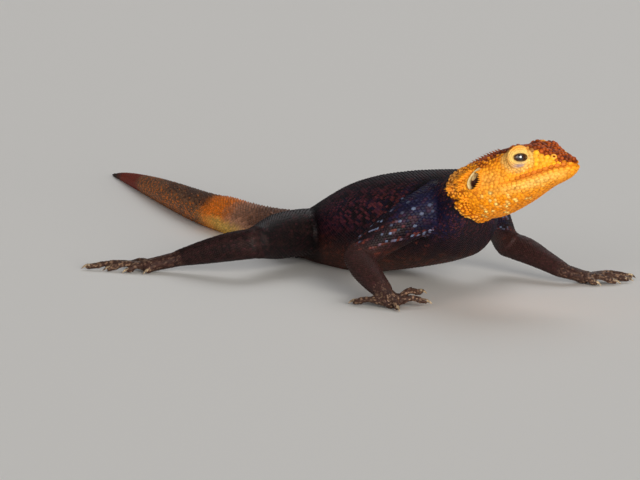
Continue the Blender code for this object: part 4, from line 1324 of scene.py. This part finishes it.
def arc_along(grid, row):
    """Distance along a grid's middle line at places between its rings."""
    middle = grid.mean(axis=1)
    length = np.concatenate([[0.0], np.cumsum(np.linalg.norm(np.diff(middle, axis=0), axis=1))])
    return np.interp(row, np.arange(len(grid)), length)


def colours_of(name, grid, row, points):
    """Each part's own markings at points of it."""
    if name == "head":
        return head_colours(points)
    if name == "body":
        return trunk_colours(points)
    if name == "tail":
        return tail_colours(points, arc_along(grid, row) - 4.0)
    return limb_colours(name, points)


def rows_of(name):
    """How many scales stand round a part, how far apart their rows are and how high they rise."""
    if "digit" in name:
        return ROWS["digit"]
    if name.startswith(("hand", "foot")):
        return ROWS["palm"]
    return ROWS[name.removesuffix("_left").removesuffix("_right")]


def patch_places(row, turn, rows, number, total):
    """Each scale's place on the unwrap: along the part, and round it within the part's own strip."""
    share = (number + 0.04 + 0.92 * (turn % 1.0)) / total
    return np.stack([0.01 + 0.98 * row / rows, share], axis=1)


def lay_rows(coat, name, grid, sign, number, total, tree, facing, draw, belly=None):
    """Scales in staggered rows over one part, seated on the skin, those inside another part left out.

    On the trunk those of the belly, low and facing down, go to a coat of their own, smooth and flat.
    """
    around, stretch, height = rows_of(name)
    row, turn, size, large = scale_rows(grid, around, stretch)
    row, turn, size = taken(large, row, turn, size)
    row = row + draw.uniform(-0.08, 0.08, len(row))
    turn = turn + draw.uniform(-0.1, 0.1, len(row)) / around
    ahead = grid_at(grid, row + 0.5, turn) - grid_at(grid, row - 0.5, turn)
    places, normals, near = seated(grid_at(grid, row, turn), tree, facing, limit=0.85)
    keep = near & (places[:, 2] > 0.12)
    if name == "body":
        local = head_local(places)
        keep &= (hood_edge(local) < 0.2) | (local[:, 2] < -14)
    places, normals, ways = taken(keep, places, normals, sign * ahead)
    row, turn, size = taken(keep, row, turn, size)
    size = size * draw.uniform(*SCALE_SIZES, len(size))
    colours = colours_of(name, grid, row, places)
    colours = colours * draw.uniform(*SCALE_TONES, (len(colours), 1))
    patches = patch_places(row, turn, len(grid), number, total)
    tall = height * np.minimum(size / 0.9, 1.25) * draw.uniform(*SCALE_HEIGHTS, len(size))
    if name == "tail":
        tall = tall * (1.0 + 0.5 * rise(normals[:, 2], 0.6, 0.95))
    sizes = np.stack([size * 1.12, size * 1.3 * stretch / 0.9, tall])
    under = normals[:, 2] < -0.25 if belly else np.zeros(len(size), bool)
    kinds = ((coat, KEELED, ~under, 1.0), (belly, BELLY, under, BELLY_FLATNESS))
    for target, shape, part, rising in kinds:
        if part.any():
            seats = taken(part, places, normals, ways)
            shares = np.array([[1.0], [1.0], [rising]])
            target.add(shape, *seats, sizes[:, part] * shares, colours[part], patches[part])


def granule_size(local):
    """How far apart scales of the head stand: wide on crown and brows, close on cheeks and hood."""
    x, _, z = local.T
    crown = rise(z, 4.6, 6.4) * rise(x, 3, 9)
    size = 0.78 + 0.3 * crown * rise(22 - x, 0, 4)
    size += 0.2 * rise(x, 15, 19) * rise(z, 0.3, 1.6) * (1 - crown)
    size += 0.12 * bump(x, 3.5, 4.5) * bump(z, 4.0, 2.0)
    return size - 0.26 * lid_surround(local) * (1 - crown)


def granule_height(local):
    """How high scales of the head rise: domes on the crown, nearly flat on cheeks and before the eye."""
    x, side, z = either_side(local)
    height = 0.085 + 0.25 * rise(above_crown_edge(x, side, z), -0.6, 0.6) * rise(x, 2, 8)
    height += 0.2 * bump(x, 3.0, 5.0) * bump(z, 4.2, 1.8)
    height += 0.16 * rise(-x, -0.5, 4.0)
    return height + 0.14 * jaw_spots(x, side, mouth_line(x) - z)


def spread_out(points, spacing, cell=1.6):
    """Which points to keep, in their order, so that none lies closer to another than its spacing."""
    boxes = {}
    keep = []
    keys = np.floor(points / cell).astype(int).tolist()
    rows = points.tolist()
    reach = spacing.tolist()
    near = [(i, j, k) for i in (-1, 0, 1) for j in (-1, 0, 1) for k in (-1, 0, 1)]
    for index, (x, y, z) in enumerate(rows):
        a, b, c = keys[index]
        limit = reach[index] ** 2
        clear = True
        for i, j, k in near:
            for p, q, r in boxes.get((a + i, b + j, c + k), ()):
                if (x - p) ** 2 + (y - q) ** 2 + (z - r) ** 2 < limit:
                    clear = False
                    break
            if not clear:
                break
        if clear:
            boxes.setdefault((a, b, c), []).append((x, y, z))
            keep.append(index)
    return np.array(keep)


def lay_head(coat, grid, tree, facing, draw):
    """Granules over the head and the hood, packed at random no closer than their size."""
    row = draw.uniform(0, len(grid) - 1, HEAD_TRIES)
    turn = draw.uniform(0, 1, HEAD_TRIES)
    points = grid_at(grid, row, turn)
    outside = np.linalg.norm(eye_local(head_local(points)), axis=1) > LID_RADIUS - 0.1
    parts = [taken(outside, points, row, turn), hood_points(draw), lid_points(tree, facing, draw)]
    points, row, turn = (np.concatenate(three) for three in zip(*parts))
    local = head_local(points)
    points, row, turn = taken((hood_edge(local) > 0.15) & clear_of_features(local), points, row, turn)
    kept = spread_out(points, granule_size(head_local(points)))
    points, row, turn = taken(kept, points, row, turn)
    places, normals, near = seated(points, tree, facing, limit=1.0)
    places, normals, row, turn = taken(near, places, normals, row, turn)
    local = head_local(places)
    size = granule_size(local) * draw.uniform(*GRANULE_SIZES, len(places))
    colours = head_colours(places) * draw.uniform(*GRANULE_TONES, (len(places), 1))
    patches = patch_places(row, turn, len(grid), 0, 1)
    ways = np.tile(-HEAD_FRAME[0] + 0.15 * HEAD_FRAME[2], (len(places), 1))
    tall = granule_height(local) * draw.uniform(*GRANULE_HEIGHTS, len(places))
    sizes = np.stack([size * 1.12, size * 1.2, tall])
    pointed = (local[:, 0] < -0.5) & (draw.uniform(0, 1, len(places)) < POINTED_SHARE)
    domed = ~pointed & (rise(tall, 0.14, 0.26) > 0.5)
    crown = local[:, 0] > -1.0
    kinds = (
        (KEELED, pointed, 0.3),
        (DOME, domed & crown, 0.6),
        (DOME, domed & ~crown, 0.3),
        (DOME, ~pointed & ~domed, 0.14),
    )
    for shape, part, shade in kinds:
        seats = taken(part, places, normals, ways)
        coat.add(shape, *seats, sizes[:, part], colours[part], patches[part], shade)


def lid_points(tree, facing, draw):
    """Points of the skin round the back and the upper side of each eye's swelling, above the head."""
    way = unit(draw.normal(size=(LID_TRIES, 3)))
    side = np.where(draw.uniform(0, 1, LID_TRIES) < 0.5, 1.0, -1.0)
    centre = np.tile(EYE, (LID_TRIES, 1))
    centre[:, 1] *= side
    points = head_point(centre + way * (LID_RADIUS - COAT_DEPTH))
    places, _, near = seated(points, tree, facing, limit=0.3)
    row = 100.0 + 12.0 * way[:, 0]
    turn = (0.5 + 0.35 * side + 0.06 * way[:, 2]) % 1.0
    return taken(near, places, row, turn)


def hood_points(draw):
    """Points on the neck's surface before the hood's border, where the hood lies over the neck."""
    grid = body_grid()
    first = TRUNK_RINGS - 2
    row = draw.uniform(first, len(grid) - 4, HOOD_TRIES)
    turn = draw.uniform(0, 1, HOOD_TRIES)
    points = grid_at(grid, row, turn)
    local = head_local(points)
    keep = (local[:, 0] < HEAD_SECTIONS[0][0] + 0.2) & (hood_edge(local) > 0)
    return taken(keep, points, 0.5 + 2.0 * (row - first) / len(grid), turn)


def clear_of_features(local):
    """True for points of the head away from lids, ears, nostrils, and the line of the mouth."""
    x, side, z = either_side(local)
    eye = eye_local(local)
    reach = np.linalg.norm(eye, axis=1)
    on_lid = (reach < LID_RADIUS + 0.3) & (eye[:, 1] > 0.22 * reach)
    on_nose = (side > 1.5) & (np.hypot(x - NOSTRIL[0], z - NOSTRIL[1]) <= 1.0)
    on_ear = (ear_reach(local) <= 1.22) & (side >= 7)
    gap = z - mouth_line(x)
    on_mouth = (x > MOUTH_CORNER) & (gap < 1.6) & (gap > -1.55)
    return ~(on_lid | on_nose | on_ear | on_mouth)


def tube_along(centres, ways, radius, sides, beside=UP):
    """Rings of a round tube along a path: the radius times a circle across the way at each point.

    Each circle starts square to the way and to the direction beside it.
    """
    side = unit(np.cross(ways, beside))
    top = np.cross(side, ways)
    angle = angles_round(sides)
    circle = np.cos(angle)[None, :, None] * side[:, None] + np.sin(angle)[None, :, None] * top[:, None]
    return centres[:, None] + circle * radius[:, None, None]


def join_shells(name, grids):
    """One mesh of several closed shells."""
    points, quads, fans, offset = [], [], [], 0
    for grid in grids:
        shell, faces = closed_shell(grid)
        points.append(shell)
        quads.append(faces[0] + offset)
        fans.append(faces[1] + offset)
        offset += len(shell)
    return mesh_of(name, np.concatenate(points), [np.concatenate(quads), np.concatenate(fans)])


def make_claws(material):
    """Twenty claws: each leaves its toe level and curves down, its radius a power of what is left."""
    grids = []
    share = np.linspace(0, 1, 12)
    for paw in PAWS.values():
        for digit in paw["digits"]:
            stations = digit_stations(paw, digit)
            tip, late = stations[-1, :3], stations[-2, :3]
            way = unit((tip - late) * (1.0, 1.0, 0.0))
            start = tip - way * CLAW_LENGTH * 0.35 + (0.0, 0.0, 0.25)
            centres = start + way * CLAW_LENGTH * share[:, None]
            centres[:, 2] += 0.25 * np.sin(share * math.pi) - CLAW_DROP * share**2
            ways = unit(np.gradient(centres, axis=0))
            radius = CLAW_ROOT * 0.92 * (1 - share) ** 0.75 + CLAW_TIP
            grids.append(on_floor(tube_along(centres, ways, radius, 10)))
    claws = join_shells("claws", grids)
    dress(claws, material)
    return claws


def side_frame(side):
    """The head's frame with its second direction out to the given side, 1 left or -1 right."""
    return HEAD_FRAME * np.array((1.0, side, 1.0))[:, None]


def eye_frame(side):
    """The side's frame turned forward, the way that the eye looks."""
    forward, out, up = side_frame(side)
    return np.array((*turned(forward, out, EYE_TURN), up))


def on_side(local, side):
    """A point given forward, outwards and up, on the given side of the head."""
    return head_point((local[0], local[1] * side, local[2]))


def lid_surface(share, turn):
    """The lids, in the eye's own directions: forward, out and up.

    From the opening, share 0, to the rim, share 1, a point goes from an almond outline to a wide
    circle. It lies on a ball, whose radius swells at the edge, waves in a few folds round the eye
    and drops at the rim, under the skin of the head.
    """
    angle = 2 * math.pi * turn
    along = 0.5 * OPENING_LENGTH * np.cos(angle)
    up = 0.5 * OPENING_HEIGHT * np.sin(angle) * np.abs(np.sin(angle)) ** 0.3
    inner = np.stack(turned(along, up, OPENING_TILT), axis=-1) / LID_RADIUS
    outer = 0.985 * np.stack([np.cos(angle), np.sin(angle)], axis=-1)
    spread = share[..., None] ** 0.9
    flat = inner * (1 - spread) + outer * spread
    out = np.sqrt(np.maximum(1.0 - (flat**2).sum(axis=-1), 0.0))
    folds = np.sin(share * 2 * math.pi * 4.2 + 0.5 * np.sin(3 * angle)) * rise(share, 0.1, 0.25)
    radius = LID_RADIUS - 0.06 + 0.12 * bump(share, 0.05, 0.045) + 0.08 * folds
    radius = radius - 0.5 * rise(share, 0.84, 1.0)
    return radius[..., None] * np.stack([flat[..., 0], out, flat[..., 1]], axis=-1)


def make_lids(coat, material, draw):
    """Lids of both eyes: a ball's skin with an almond opening, and fine granules in rings over it."""
    shares = np.linspace(0, 1, LID_RINGS)
    turns = np.linspace(0, 1, LID_ROUND, endpoint=False)
    local = lid_surface(*np.meshgrid(shares, turns, indexing="ij"))
    local = np.concatenate([local[0] * np.array((0.76, 0.82, 0.9))[:, None, None], local])
    for side, word in SIDES:
        frame_here = eye_frame(side)
        centre = on_side(EYE, side)
        grid = centre + local @ frame_here
        quads = grid_faces(len(grid), LID_ROUND)
        if side > 0:
            quads = quads[:, ::-1]
        lid = mesh_of(f"lids_{word}", grid.reshape(-1, 3), [quads])
        # The lid's skin under its granules is darkened with painted shade between them.
        paint(lid, lid_colours(local.reshape(-1, 3)) * 0.8)
        dress(lid, material)
        lay_lid(coat, side, centre, frame_here, draw)


def lid_colours(local):
    """Pale yellow lids, orange at the rim, a grey violet patch below the opening, and painted shade at its
    edge where the lid turns in against the eye.
    """
    local = unit(local) * LID_RADIUS
    along, _, up = local.T
    out = np.hypot(along, up)
    reach = opening_reach(local)
    rings = bump(np.sin(out * 2 * math.pi / 0.62), 1.0, 0.5) * rise(out, 2.0, 2.4)
    return washes(
        all_over(LID_PALE, len(local)),
        (ORANGE, 0.6 * rise(up, 1.4, 2.8) + 0.6 * rise(out, 2.8, 3.5) * (up < 1.4)),
        (ORANGE, 0.3 * rings),
        (LID_GREY, 0.9 * bump(along, -0.5, 1.7) * bump(up, -2.05, 0.7)),
        (CREAM, 0.5 * bump(reach, 1.35, 0.25)),
        # Painted shade where the lid turns in against the eye.
        (RUST_DARK, 0.9 * rise(1.06 - reach, 0.0, 0.1)),
    )


def lay_lid(coat, side, centre, frame_here, draw):
    """Fine granules in rings round the opening of one eye."""
    share, turn = [], []
    for ring, at in enumerate(np.linspace(0.1, 0.86, 12)):
        number = int(30 + 24 * at)
        share.append(np.full(number, at))
        turn.append((np.arange(number) + 0.5 * (ring % 2)) / number)
    share = np.concatenate(share)
    turn = np.concatenate(turn)
    local = lid_surface(share, turn)
    step = 0.004
    a = lid_surface(share + step, turn) - local
    b = lid_surface(share, turn + step) - local
    normals = unit(np.cross(a, b))
    normals *= np.sign((normals * local).sum(axis=1))[:, None]
    points = centre + local @ frame_here
    size = 0.25 + 0.26 * share
    colours = lid_colours(local) * draw.uniform(*LID_TONES, (len(points), 1))
    patches = np.stack([0.02 + 0.2 * share + (0.5 if side > 0 else 0.0), 0.1 + 0.8 * turn], axis=1)
    sizes = (size * 1.3, size * 1.0, np.full(len(size), 0.07))
    coat.add(DOME, points, normals @ frame_here, a @ frame_here, sizes, colours, patches, 0.2)


def make_eyes(material):
    """Two balls of the eyes, as fine rings from the middle of the pupil round to the back."""
    polar = np.linspace(0.0, math.pi, EYE_RINGS)[1:-1]
    turn = angles_round(EYE_ROUND)
    cornea = EYE_RADIUS + 0.12 * bump(polar, 0.0, 0.5)
    across = cornea * np.sin(polar)
    out = np.outer(cornea * np.cos(polar), np.ones(EYE_ROUND))
    local = np.stack([np.outer(across, np.cos(turn)), out, np.outer(across, np.sin(turn))], axis=-1)
    for side, word in SIDES:
        frame_here = eye_frame(side)
        centre = on_side(EYE, side)
        points, faces = closed_shell(centre + local @ frame_here)
        eye = mesh_of(f"eyeball_{word}", points, faces)
        looking = (unit(points - centre) @ frame_here.T)[:, 1]
        angle = np.degrees(np.arccos(np.clip(looking, -1, 1)))
        iris = (IRIS, 0.85 * rise(angle, 15, 18) * rise(42 - angle, 0, 5))
        rest = (EYE_BROWN, rise(angle, 40, 46))
        paint(eye, washes(all_over(PUPIL, len(points)), iris, rest))
        dress(eye, material, (f"eye_{word}",))


def head_width(forward, height):
    """How far out the head's own surface lies at distances forward and heights.

    It is the half width times (1 - share^p)^(1/p), where share is the part of the half's depth
    that the height takes up.
    """
    wide, crown, mouth, throat, upper = head_section(forward).T
    above = height > mouth
    deep = np.where(above, crown - mouth, mouth - throat)
    power = np.where(above, upper, THROAT_POWER)
    share = np.minimum(np.abs(height - mouth) / deep, 0.99)
    return wide * (1 - share**power) ** (1 / power)


def with_middle(values, shape, last):
    """Values of a grid's points in one row, and one more for the middle of its last ring."""
    return np.append(np.broadcast_to(values, shape), last)


def make_cup(name, grid, flipped, colours, material):
    """A piece like a cup: rings open at the first and closed by a fan at the last, in hood skin."""
    rows, around = grid.shape[:2]
    points = np.concatenate([grid.reshape(-1, 3), grid[-1:].mean(axis=1)])
    quads = grid_faces(rows, around)
    here, after = ring_steps(around)
    last = (rows - 1) * around
    fan = np.stack([last + here, last + after, np.full(around, rows * around)], axis=1)
    if flipped:
        quads, fan = quads[:, ::-1], fan[:, ::-1]
    cup = mesh_of(name, points, [quads, fan])
    paint(cup, colours)
    dress(cup, material)


def make_ears(material):
    """Each ear: a raised rim, wide and pale behind, that turns into a deep cup with a drum, brown with
    painted shade.

    The profile runs round a leaning oval, and a lobe, a bell of the turn, widens it at the rear.
    """
    scale, depth = curve(EAR_PROFILE, np.linspace(0, len(EAR_PROFILE) - 1, EAR_RINGS)).T
    turn = angles_round(EAR_ROUND)
    rear = -np.cos(turn)
    lobe = bump(rear, 0.9, 0.6) * bump(turn, math.pi - 0.4, 0.8)
    short = EAR_WIDE * np.outer(scale, np.cos(turn)) + 0.4 * lobe * bump(depth, -0.1, 0.6)[:, None]
    long = EAR_LONG * np.outer(scale, np.sin(turn))
    forward, up = turned(short, long, -EAR_LEAN)
    forward, up = EAR[0] + forward, EAR[1] + up
    base = head_width(forward.ravel(), up.ravel()).reshape(up.shape)
    raised = 0.2 * rise(rear, -0.2, 0.8) * rise(depth, -0.3, 0.2)[:, None]
    local = np.stack([forward, base - COAT_DEPTH + depth[:, None] + raised, up], axis=-1)
    inside = with_middle(depth[:, None], up.shape, depth[-1])
    behind = with_middle(rear, up.shape, 0.0)
    outer = with_middle(scale[:, None], up.shape, 0.0)
    flap = with_middle(lobe * bump(depth, -0.2, 0.8)[:, None], up.shape, 0.0)
    colours = washes(
        # Painted shade: dark brown down in the ear's cup.
        all_over(HOLLOW_SHADE_BROWN, len(inside)),
        (ORANGE, 0.9 * rise(inside, -0.35, 0.15) * rise(outer, 1.0, 1.3)),
        (EAR_RIM, 0.9 * rise(behind, -0.3, 0.4) * rise(inside, -0.9, -0.1)),
        (EAR_RIM, 0.85 * flap),
    )
    for side, word in SIDES:
        grid = np.asarray(HEAD_CENTRE) + local @ side_frame(side)
        make_cup(f"ear_{word}", grid, side > 0, colours, material)


def lay_ear_spines(coat, tree, facing, draw):
    """Spines along the ear's front edge, in tufts behind it and over the temple, and on the nape.

    A tuft's spines stand on a spiral: 2.4 further round each, and out by the root of their number.
    """
    roots, ways, sizes = [], [], []
    for side, _ in SIDES:
        frame_here = side_frame(side)
        for turn in np.radians(np.linspace(-78, 96, EAR_SPINES)):
            short = EAR_WIDE * 1.3 * math.cos(turn)
            long = EAR_LONG * 1.25 * math.sin(turn)
            forward, up = turned(short, long, -EAR_LEAN)
            roots.append(on_side((EAR[0] + forward, 10.2, EAR[1] + up), side))
            ways.append(np.array((-1.0, 0.3, -0.2 * math.sin(turn))) @ frame_here)
            sizes.append(EAR_SPINE_LENGTH * draw.uniform(*SPINE_LENGTHS))
        for forward, up in TUFTS:
            for number in range(TUFT_SPINES):
                turn = 2.4 * number
                spread = 0.34 * math.sqrt(number)
                place = (forward + spread * math.cos(turn), 10.0, up + spread * math.sin(turn))
                roots.append(on_side(place, side))
                ways.append(np.array((-1.0, 0.0, 0.3 * math.sin(turn))) @ frame_here)
                sizes.append(TUFT_SPINE_LENGTH * draw.uniform(*SPINE_LENGTHS))
    beside_ears = len(roots)
    for forward in np.linspace(5.0, -4.0, CREST_SPINES):
        crown = head_section(forward)[0][1]
        roots.append(head_point((forward, 0.0, crown)))
        ways.append(np.array((-1.0, 0.0, 0.2)) @ HEAD_FRAME)
        sizes.append(CREST_SPINE_LENGTH)
    sizes = np.array(sizes)
    places, normals, _ = seated(np.array(roots), tree, facing, limit=5.0)
    bright = np.where(np.arange(len(places)) < beside_ears, 0.6, 0.1)
    colours = washes(head_colours(places), (ORANGE, bright))
    patches = np.stack([np.linspace(0.05, 0.95, len(places)), np.full(len(places), 0.985)], axis=1)
    coat.add(SPINE, places, normals, np.array(ways), (sizes * 0.8, sizes, sizes), colours, patches, 0.3)


def lay_lips(coat, tree, facing, draw):
    """Lip scales in two rows above and two below the mouth: low plates set end to end."""
    for side, _ in SIDES:
        for number, (height, pitch, wide, tall) in enumerate(LIP_ROWS):
            forward = np.arange(MOUTH_CORNER - 0.5, LIP_END, pitch) + 0.3 * number
            level = mouth_line(forward) + height
            out = head_width(np.minimum(forward, HEAD_SECTIONS[-1][0]), level)
            taper = np.sqrt(np.clip(1 - ((forward - 25.0) / 2.6).clip(0) ** 2, 0.05, 1))
            local = np.stack([forward, side * out * taper, level], axis=1)
            places, normals, near = seated(head_point(local), tree, facing, limit=2.5)
            places, normals, forward = taken(near, places, normals, forward)
            ways = np.gradient(places, axis=0)
            count = len(places)
            even = draw.uniform(*LIP_SIZES, count)
            colours = head_colours(places) * draw.uniform(*LIP_TONES, (count, 1))
            patches = np.stack([forward / 30.0, np.full(count, 0.95 + 0.008 * number)], axis=1)
            sizes = (even * wide, even * pitch, np.full(count, tall))
            coat.add(PLATE, places, normals, ways, sizes, colours, patches, 0.25)


def make_nostrils(material, tree, facing):
    """A pale round swelling on each side of the snout with a small hole, dark with painted shade: a profile
    turned round.
    """
    places = np.linspace(0, len(NOSTRIL_PROFILE) - 1, NOSTRIL_RINGS)
    radius, lift = curve(NOSTRIL_PROFILE, places).T
    shape = (NOSTRIL_RINGS, NOSTRIL_ROUND)
    depth = with_middle(lift[:, None], shape, lift[-1])
    inner = with_middle(radius[:, None], shape, 0.0)
    colours = washes(
        all_over(LORE_YELLOW, len(depth)),
        (HOOD_TAN, 0.7 * bump(inner, 0.8, 0.3)),
        # Painted shade in the nostril's hole.
        (HOLLOW_SHADE_BROWN, rise(0.1 - depth, 0, 0.25) * (inner < 0.5)),
    )
    forward, up = NOSTRIL
    out = head_width(np.array([forward]), np.array([up]))[0]
    for side, word in SIDES:
        places, normals, _ = seated(on_side((forward, out, up), side)[None], tree, facing, limit=9.0)
        centres = places + normals * lift[:, None]
        ways = np.repeat(normals, NOSTRIL_RINGS, axis=0)
        grid = tube_along(centres, ways, radius * NOSTRIL_RADIUS, NOSTRIL_ROUND, HEAD_FRAME[0])
        make_cup(f"nostril_{word}", grid, True, colours, material)


def shader_of(name, roughness, colour=(0.8, 0.8, 0.8)):
    """A new material with a surface shader of the given roughness, and its nodes and links."""
    material = bpy.data.materials.new(name)
    material.use_nodes = True
    nodes, links = material.node_tree.nodes, material.node_tree.links
    shader = nodes["Principled BSDF"]
    set_inputs(shader, {"Base Color": (*colour, 1.0), "Roughness": roughness})
    return material, shader, nodes, links


def set_inputs(node, values):
    """Sets inputs of a node by their names."""
    for name, value in values.items():
        node.inputs[name].default_value = value


def markings_of(nodes):
    """The piece's painted markings."""
    markings = nodes.new("ShaderNodeVertexColor")
    markings.layer_name = "markings"
    return markings.outputs["Color"]


def grain_of(nodes, links, scale, detail):
    """Noise that runs through the whole model: the scale is its waves to the metre."""
    place = nodes.new("ShaderNodeTexCoord")
    noise = nodes.new("ShaderNodeTexNoise")
    set_inputs(noise, {"Scale": scale, "Detail": detail})
    links.new(place.outputs["Object"], noise.inputs["Vector"])
    return noise.outputs["Fac"]


def skin_material(name, roughness, grain, strength, tone=0.25, shine=0.15):
    """Skin and scales: the markings attribute, varied by fine noise, with a grain of small bumps."""
    material, shader, nodes, links = shader_of(name, roughness)
    noise = grain_of(nodes, links, grain, 3.0)
    spread = nodes.new("ShaderNodeMapRange")
    set_inputs(spread, {"From Min": 0.3, "From Max": 0.7, "To Min": 1.0 - tone, "To Max": 1.0 + tone})
    links.new(noise, spread.inputs["Value"])
    tint = nodes.new("ShaderNodeVectorMath")
    tint.operation = "SCALE"
    links.new(markings_of(nodes), tint.inputs[0])
    links.new(spread.outputs["Result"], tint.inputs["Scale"])
    links.new(tint.outputs["Vector"], shader.inputs["Base Color"])
    relief = nodes.new("ShaderNodeBump")
    set_inputs(relief, {"Strength": strength, "Distance": 0.0001})
    links.new(noise, relief.inputs["Height"])
    links.new(relief.outputs["Normal"], shader.inputs["Normal"])
    set_inputs(shader, {"Specular IOR Level": shine})
    return material


def eye_material():
    """The eye: dark iris and pupil under a clear wet coat."""
    material, shader, nodes, links = shader_of("eye_gloss", 0.08)
    links.new(markings_of(nodes), shader.inputs["Base Color"])
    set_inputs(shader, {"Coat Weight": 1.0, "Coat Roughness": 0.03})
    return material


def horn_material():
    """Claws: brown horn with pale streaks."""
    material, shader, nodes, links = shader_of("claw_horn", 0.35)
    ramp = nodes.new("ShaderNodeValToRGB")
    for stop, place, tint in zip(ramp.color_ramp.elements, (0.35, 0.7), (HORN_DARK, HORN_PALE)):
        stop.position = place
        stop.color = (*linear(tint), 1.0)
    links.new(grain_of(nodes, links, 900.0, 2.0), ramp.inputs["Fac"])
    links.new(ramp.outputs["Color"], shader.inputs["Base Color"])
    return material


def paint_skin(skin, coats):
    """The skin takes the colour of the scales nearest to each of its points, darkened with painted shade
    between the scales, most between the tall granules.

    Inside each ear it is pale instead.
    """
    roots = np.concatenate([place for coat in coats for place in coat.roots])
    colours = np.concatenate([colour for coat in coats for colour in coat.root_colours])
    tree = KDTree(len(roots))
    for index, root in enumerate(roots.tolist()):
        tree.insert(root, index)
    tree.balance()
    points, _, _ = mesh_arrays(skin.data)
    nearest = [tree.find(point)[1] for point in points.tolist()]
    local = head_local(points)
    side = np.abs(local[:, 1])
    deep_gap_shade = rise(granule_height(local), 0.14, 0.26) * (hood_edge(local) > 0) * (side < 14)
    ear = rise(1.1 - ear_reach(local), 0.0, 0.1) * rise(side, 7.0, 8.0)
    # Painted shade: the skin between the scales is darker and redder, more where the granules stand tall.
    shaded = colours[nearest] * (0.72 - 0.34 * deep_gap_shade[:, None]) ** REDDER
    paint(skin, washes(shaded, (EAR_RIM, 0.95 * ear)))


def stage_and_light():
    """The camera at the photograph's angle, a pale floor, a soft sky and three broad lamps."""
    back = pointing(CAMERA_AZIMUTH - 0.5 * math.pi, CAMERA_HEIGHT)
    right = pointing(CAMERA_AZIMUTH, 0.0)
    set_camera(right, back)
    lay_floor()
    light_sky()
    for name, (shares, spread, power, colour) in LAMPS.items():
        hang_lamp(name, np.array(shares) @ (right, back, UP), spread, power, colour)


def set_camera(right, back):
    """The camera, as far back from the middle of the model as the photograph's was."""
    camera = bpy.data.objects.new("camera", bpy.data.cameras.new("camera"))
    bpy.context.scene.collection.objects.link(camera)
    target = right * CAMERA_SIDE + UP * CAMERA_RISE + SHIFT
    place_thing(camera, target + back * CAMERA_DISTANCE, right, np.cross(back, right), back)
    camera.data.lens = CAMERA_LENS
    camera.data.sensor_width = CAMERA_SENSOR
    camera.data.clip_start = 0.01
    bpy.context.scene.camera = camera
    bpy.context.scene.view_settings.view_transform = "Standard"


def lay_floor():
    """A wide level sheet of pale paper under the model."""
    corners = np.array(((-1.0, -1.0, 0.0), (1.0, -1.0, 0.0), (1.0, 1.0, 0.0), (-1.0, 1.0, 0.0)))
    floor = mesh_of("floor", corners * FLOOR_REACH, [np.array([[0, 1, 2, 3]])], False)
    floor.data.materials.append(shader_of("floor_paper", 0.8, FLOOR_COLOUR)[0])


def light_sky():
    """An even pale sky all round."""
    world = bpy.data.worlds.new("sky")
    bpy.context.scene.world = world
    world.use_nodes = True
    light = {"Color": (*SKY_COLOUR, 1.0), "Strength": SKY_STRENGTH}
    set_inputs(world.node_tree.nodes["Background"], light)


def hang_lamp(name, way, spread, power, colour):
    """A far lamp that shines back along its way, as broad as its spread in degrees."""
    lamp = bpy.data.lights.new(name, "SUN")
    lamp.angle = math.radians(spread)
    lamp.energy = power
    lamp.color = colour
    thing = bpy.data.objects.new(name, lamp)
    bpy.context.scene.collection.objects.link(thing)
    aim = unit(way)
    across = unit(np.cross(UP, aim))
    place_thing(thing, SHIFT + aim * LAMP_DISTANCE, across, np.cross(aim, across), aim)


def place_thing(thing, place, right, up, back):
    """Sets a camera or lamp at a place with its own three directions."""
    matrix = np.eye(4)
    matrix[:3, 0], matrix[:3, 1], matrix[:3, 2] = right, up, back
    matrix[:3, 3] = np.asarray(place) * MM
    thing.matrix_world = Matrix(matrix.tolist())


def main():
    """Makes the skin, lays the coats of scales on it in a fixed order, then small pieces and stage."""
    draw = np.random.default_rng(SEED)
    grids = all_grids()
    skin = make_skin(grids)
    tree, facing = build_tree(skin)
    scale_finish = skin_material("scale_keratin", 0.5, 1800.0, 0.25)
    hood_finish = skin_material("hood_keratin", 0.5, 1500.0, 0.2, 0.12, 0.22)
    skin_finish = skin_material("soft_skin", 0.6, 2500.0, 0.3)
    back = Coat("scales_back")
    belly = Coat("scales_belly")
    lay_rows(back, "body", *grids["body"], 0, 1, tree, facing, draw, belly)
    tail = Coat("scales_tail")
    lay_rows(tail, "tail", *grids["tail"], 0, 1, tree, facing, draw)
    coats = [(back, "body_skin"), (belly, "body_skin"), (tail, "tail_skin")]
    for limb, words in (("arm", ("arm", "hand")), ("leg", ("thigh", "shank", "foot"))):
        for side in ("left", "right"):
            coat = Coat(f"scales_{limb}_{side}")
            theirs = [name for name in grids if side in name and any(word in name for word in words)]
            for number, name in enumerate(theirs):
                lay_rows(coat, name, *grids[name], number, len(theirs), tree, facing, draw)
            coats.append((coat, "limb_skin"))
    head = Coat("scales_head")
    lay_head(head, grids["head"][0], tree, facing, draw)
    lay_lips(head, tree, facing, draw)
    lay_ear_spines(head, tree, facing, draw)
    coats.append((head, "hood_skin"))
    lids = Coat("scales_lids")
    make_lids(lids, hood_finish, draw)
    paint_skin(skin, [coat for coat, _ in coats])
    flesh = [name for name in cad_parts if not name.startswith("eye_")]
    dress(skin, skin_finish, flesh)
    for coat, slot in [*coats, (lids, "hood_skin")]:
        coat.finish(hood_finish if slot == "hood_skin" else scale_finish, slot)
    make_eyes(eye_material())
    make_ears(hood_finish)
    make_nostrils(hood_finish, tree, facing)
    make_claws(horn_material())
    stage_and_light()


main()
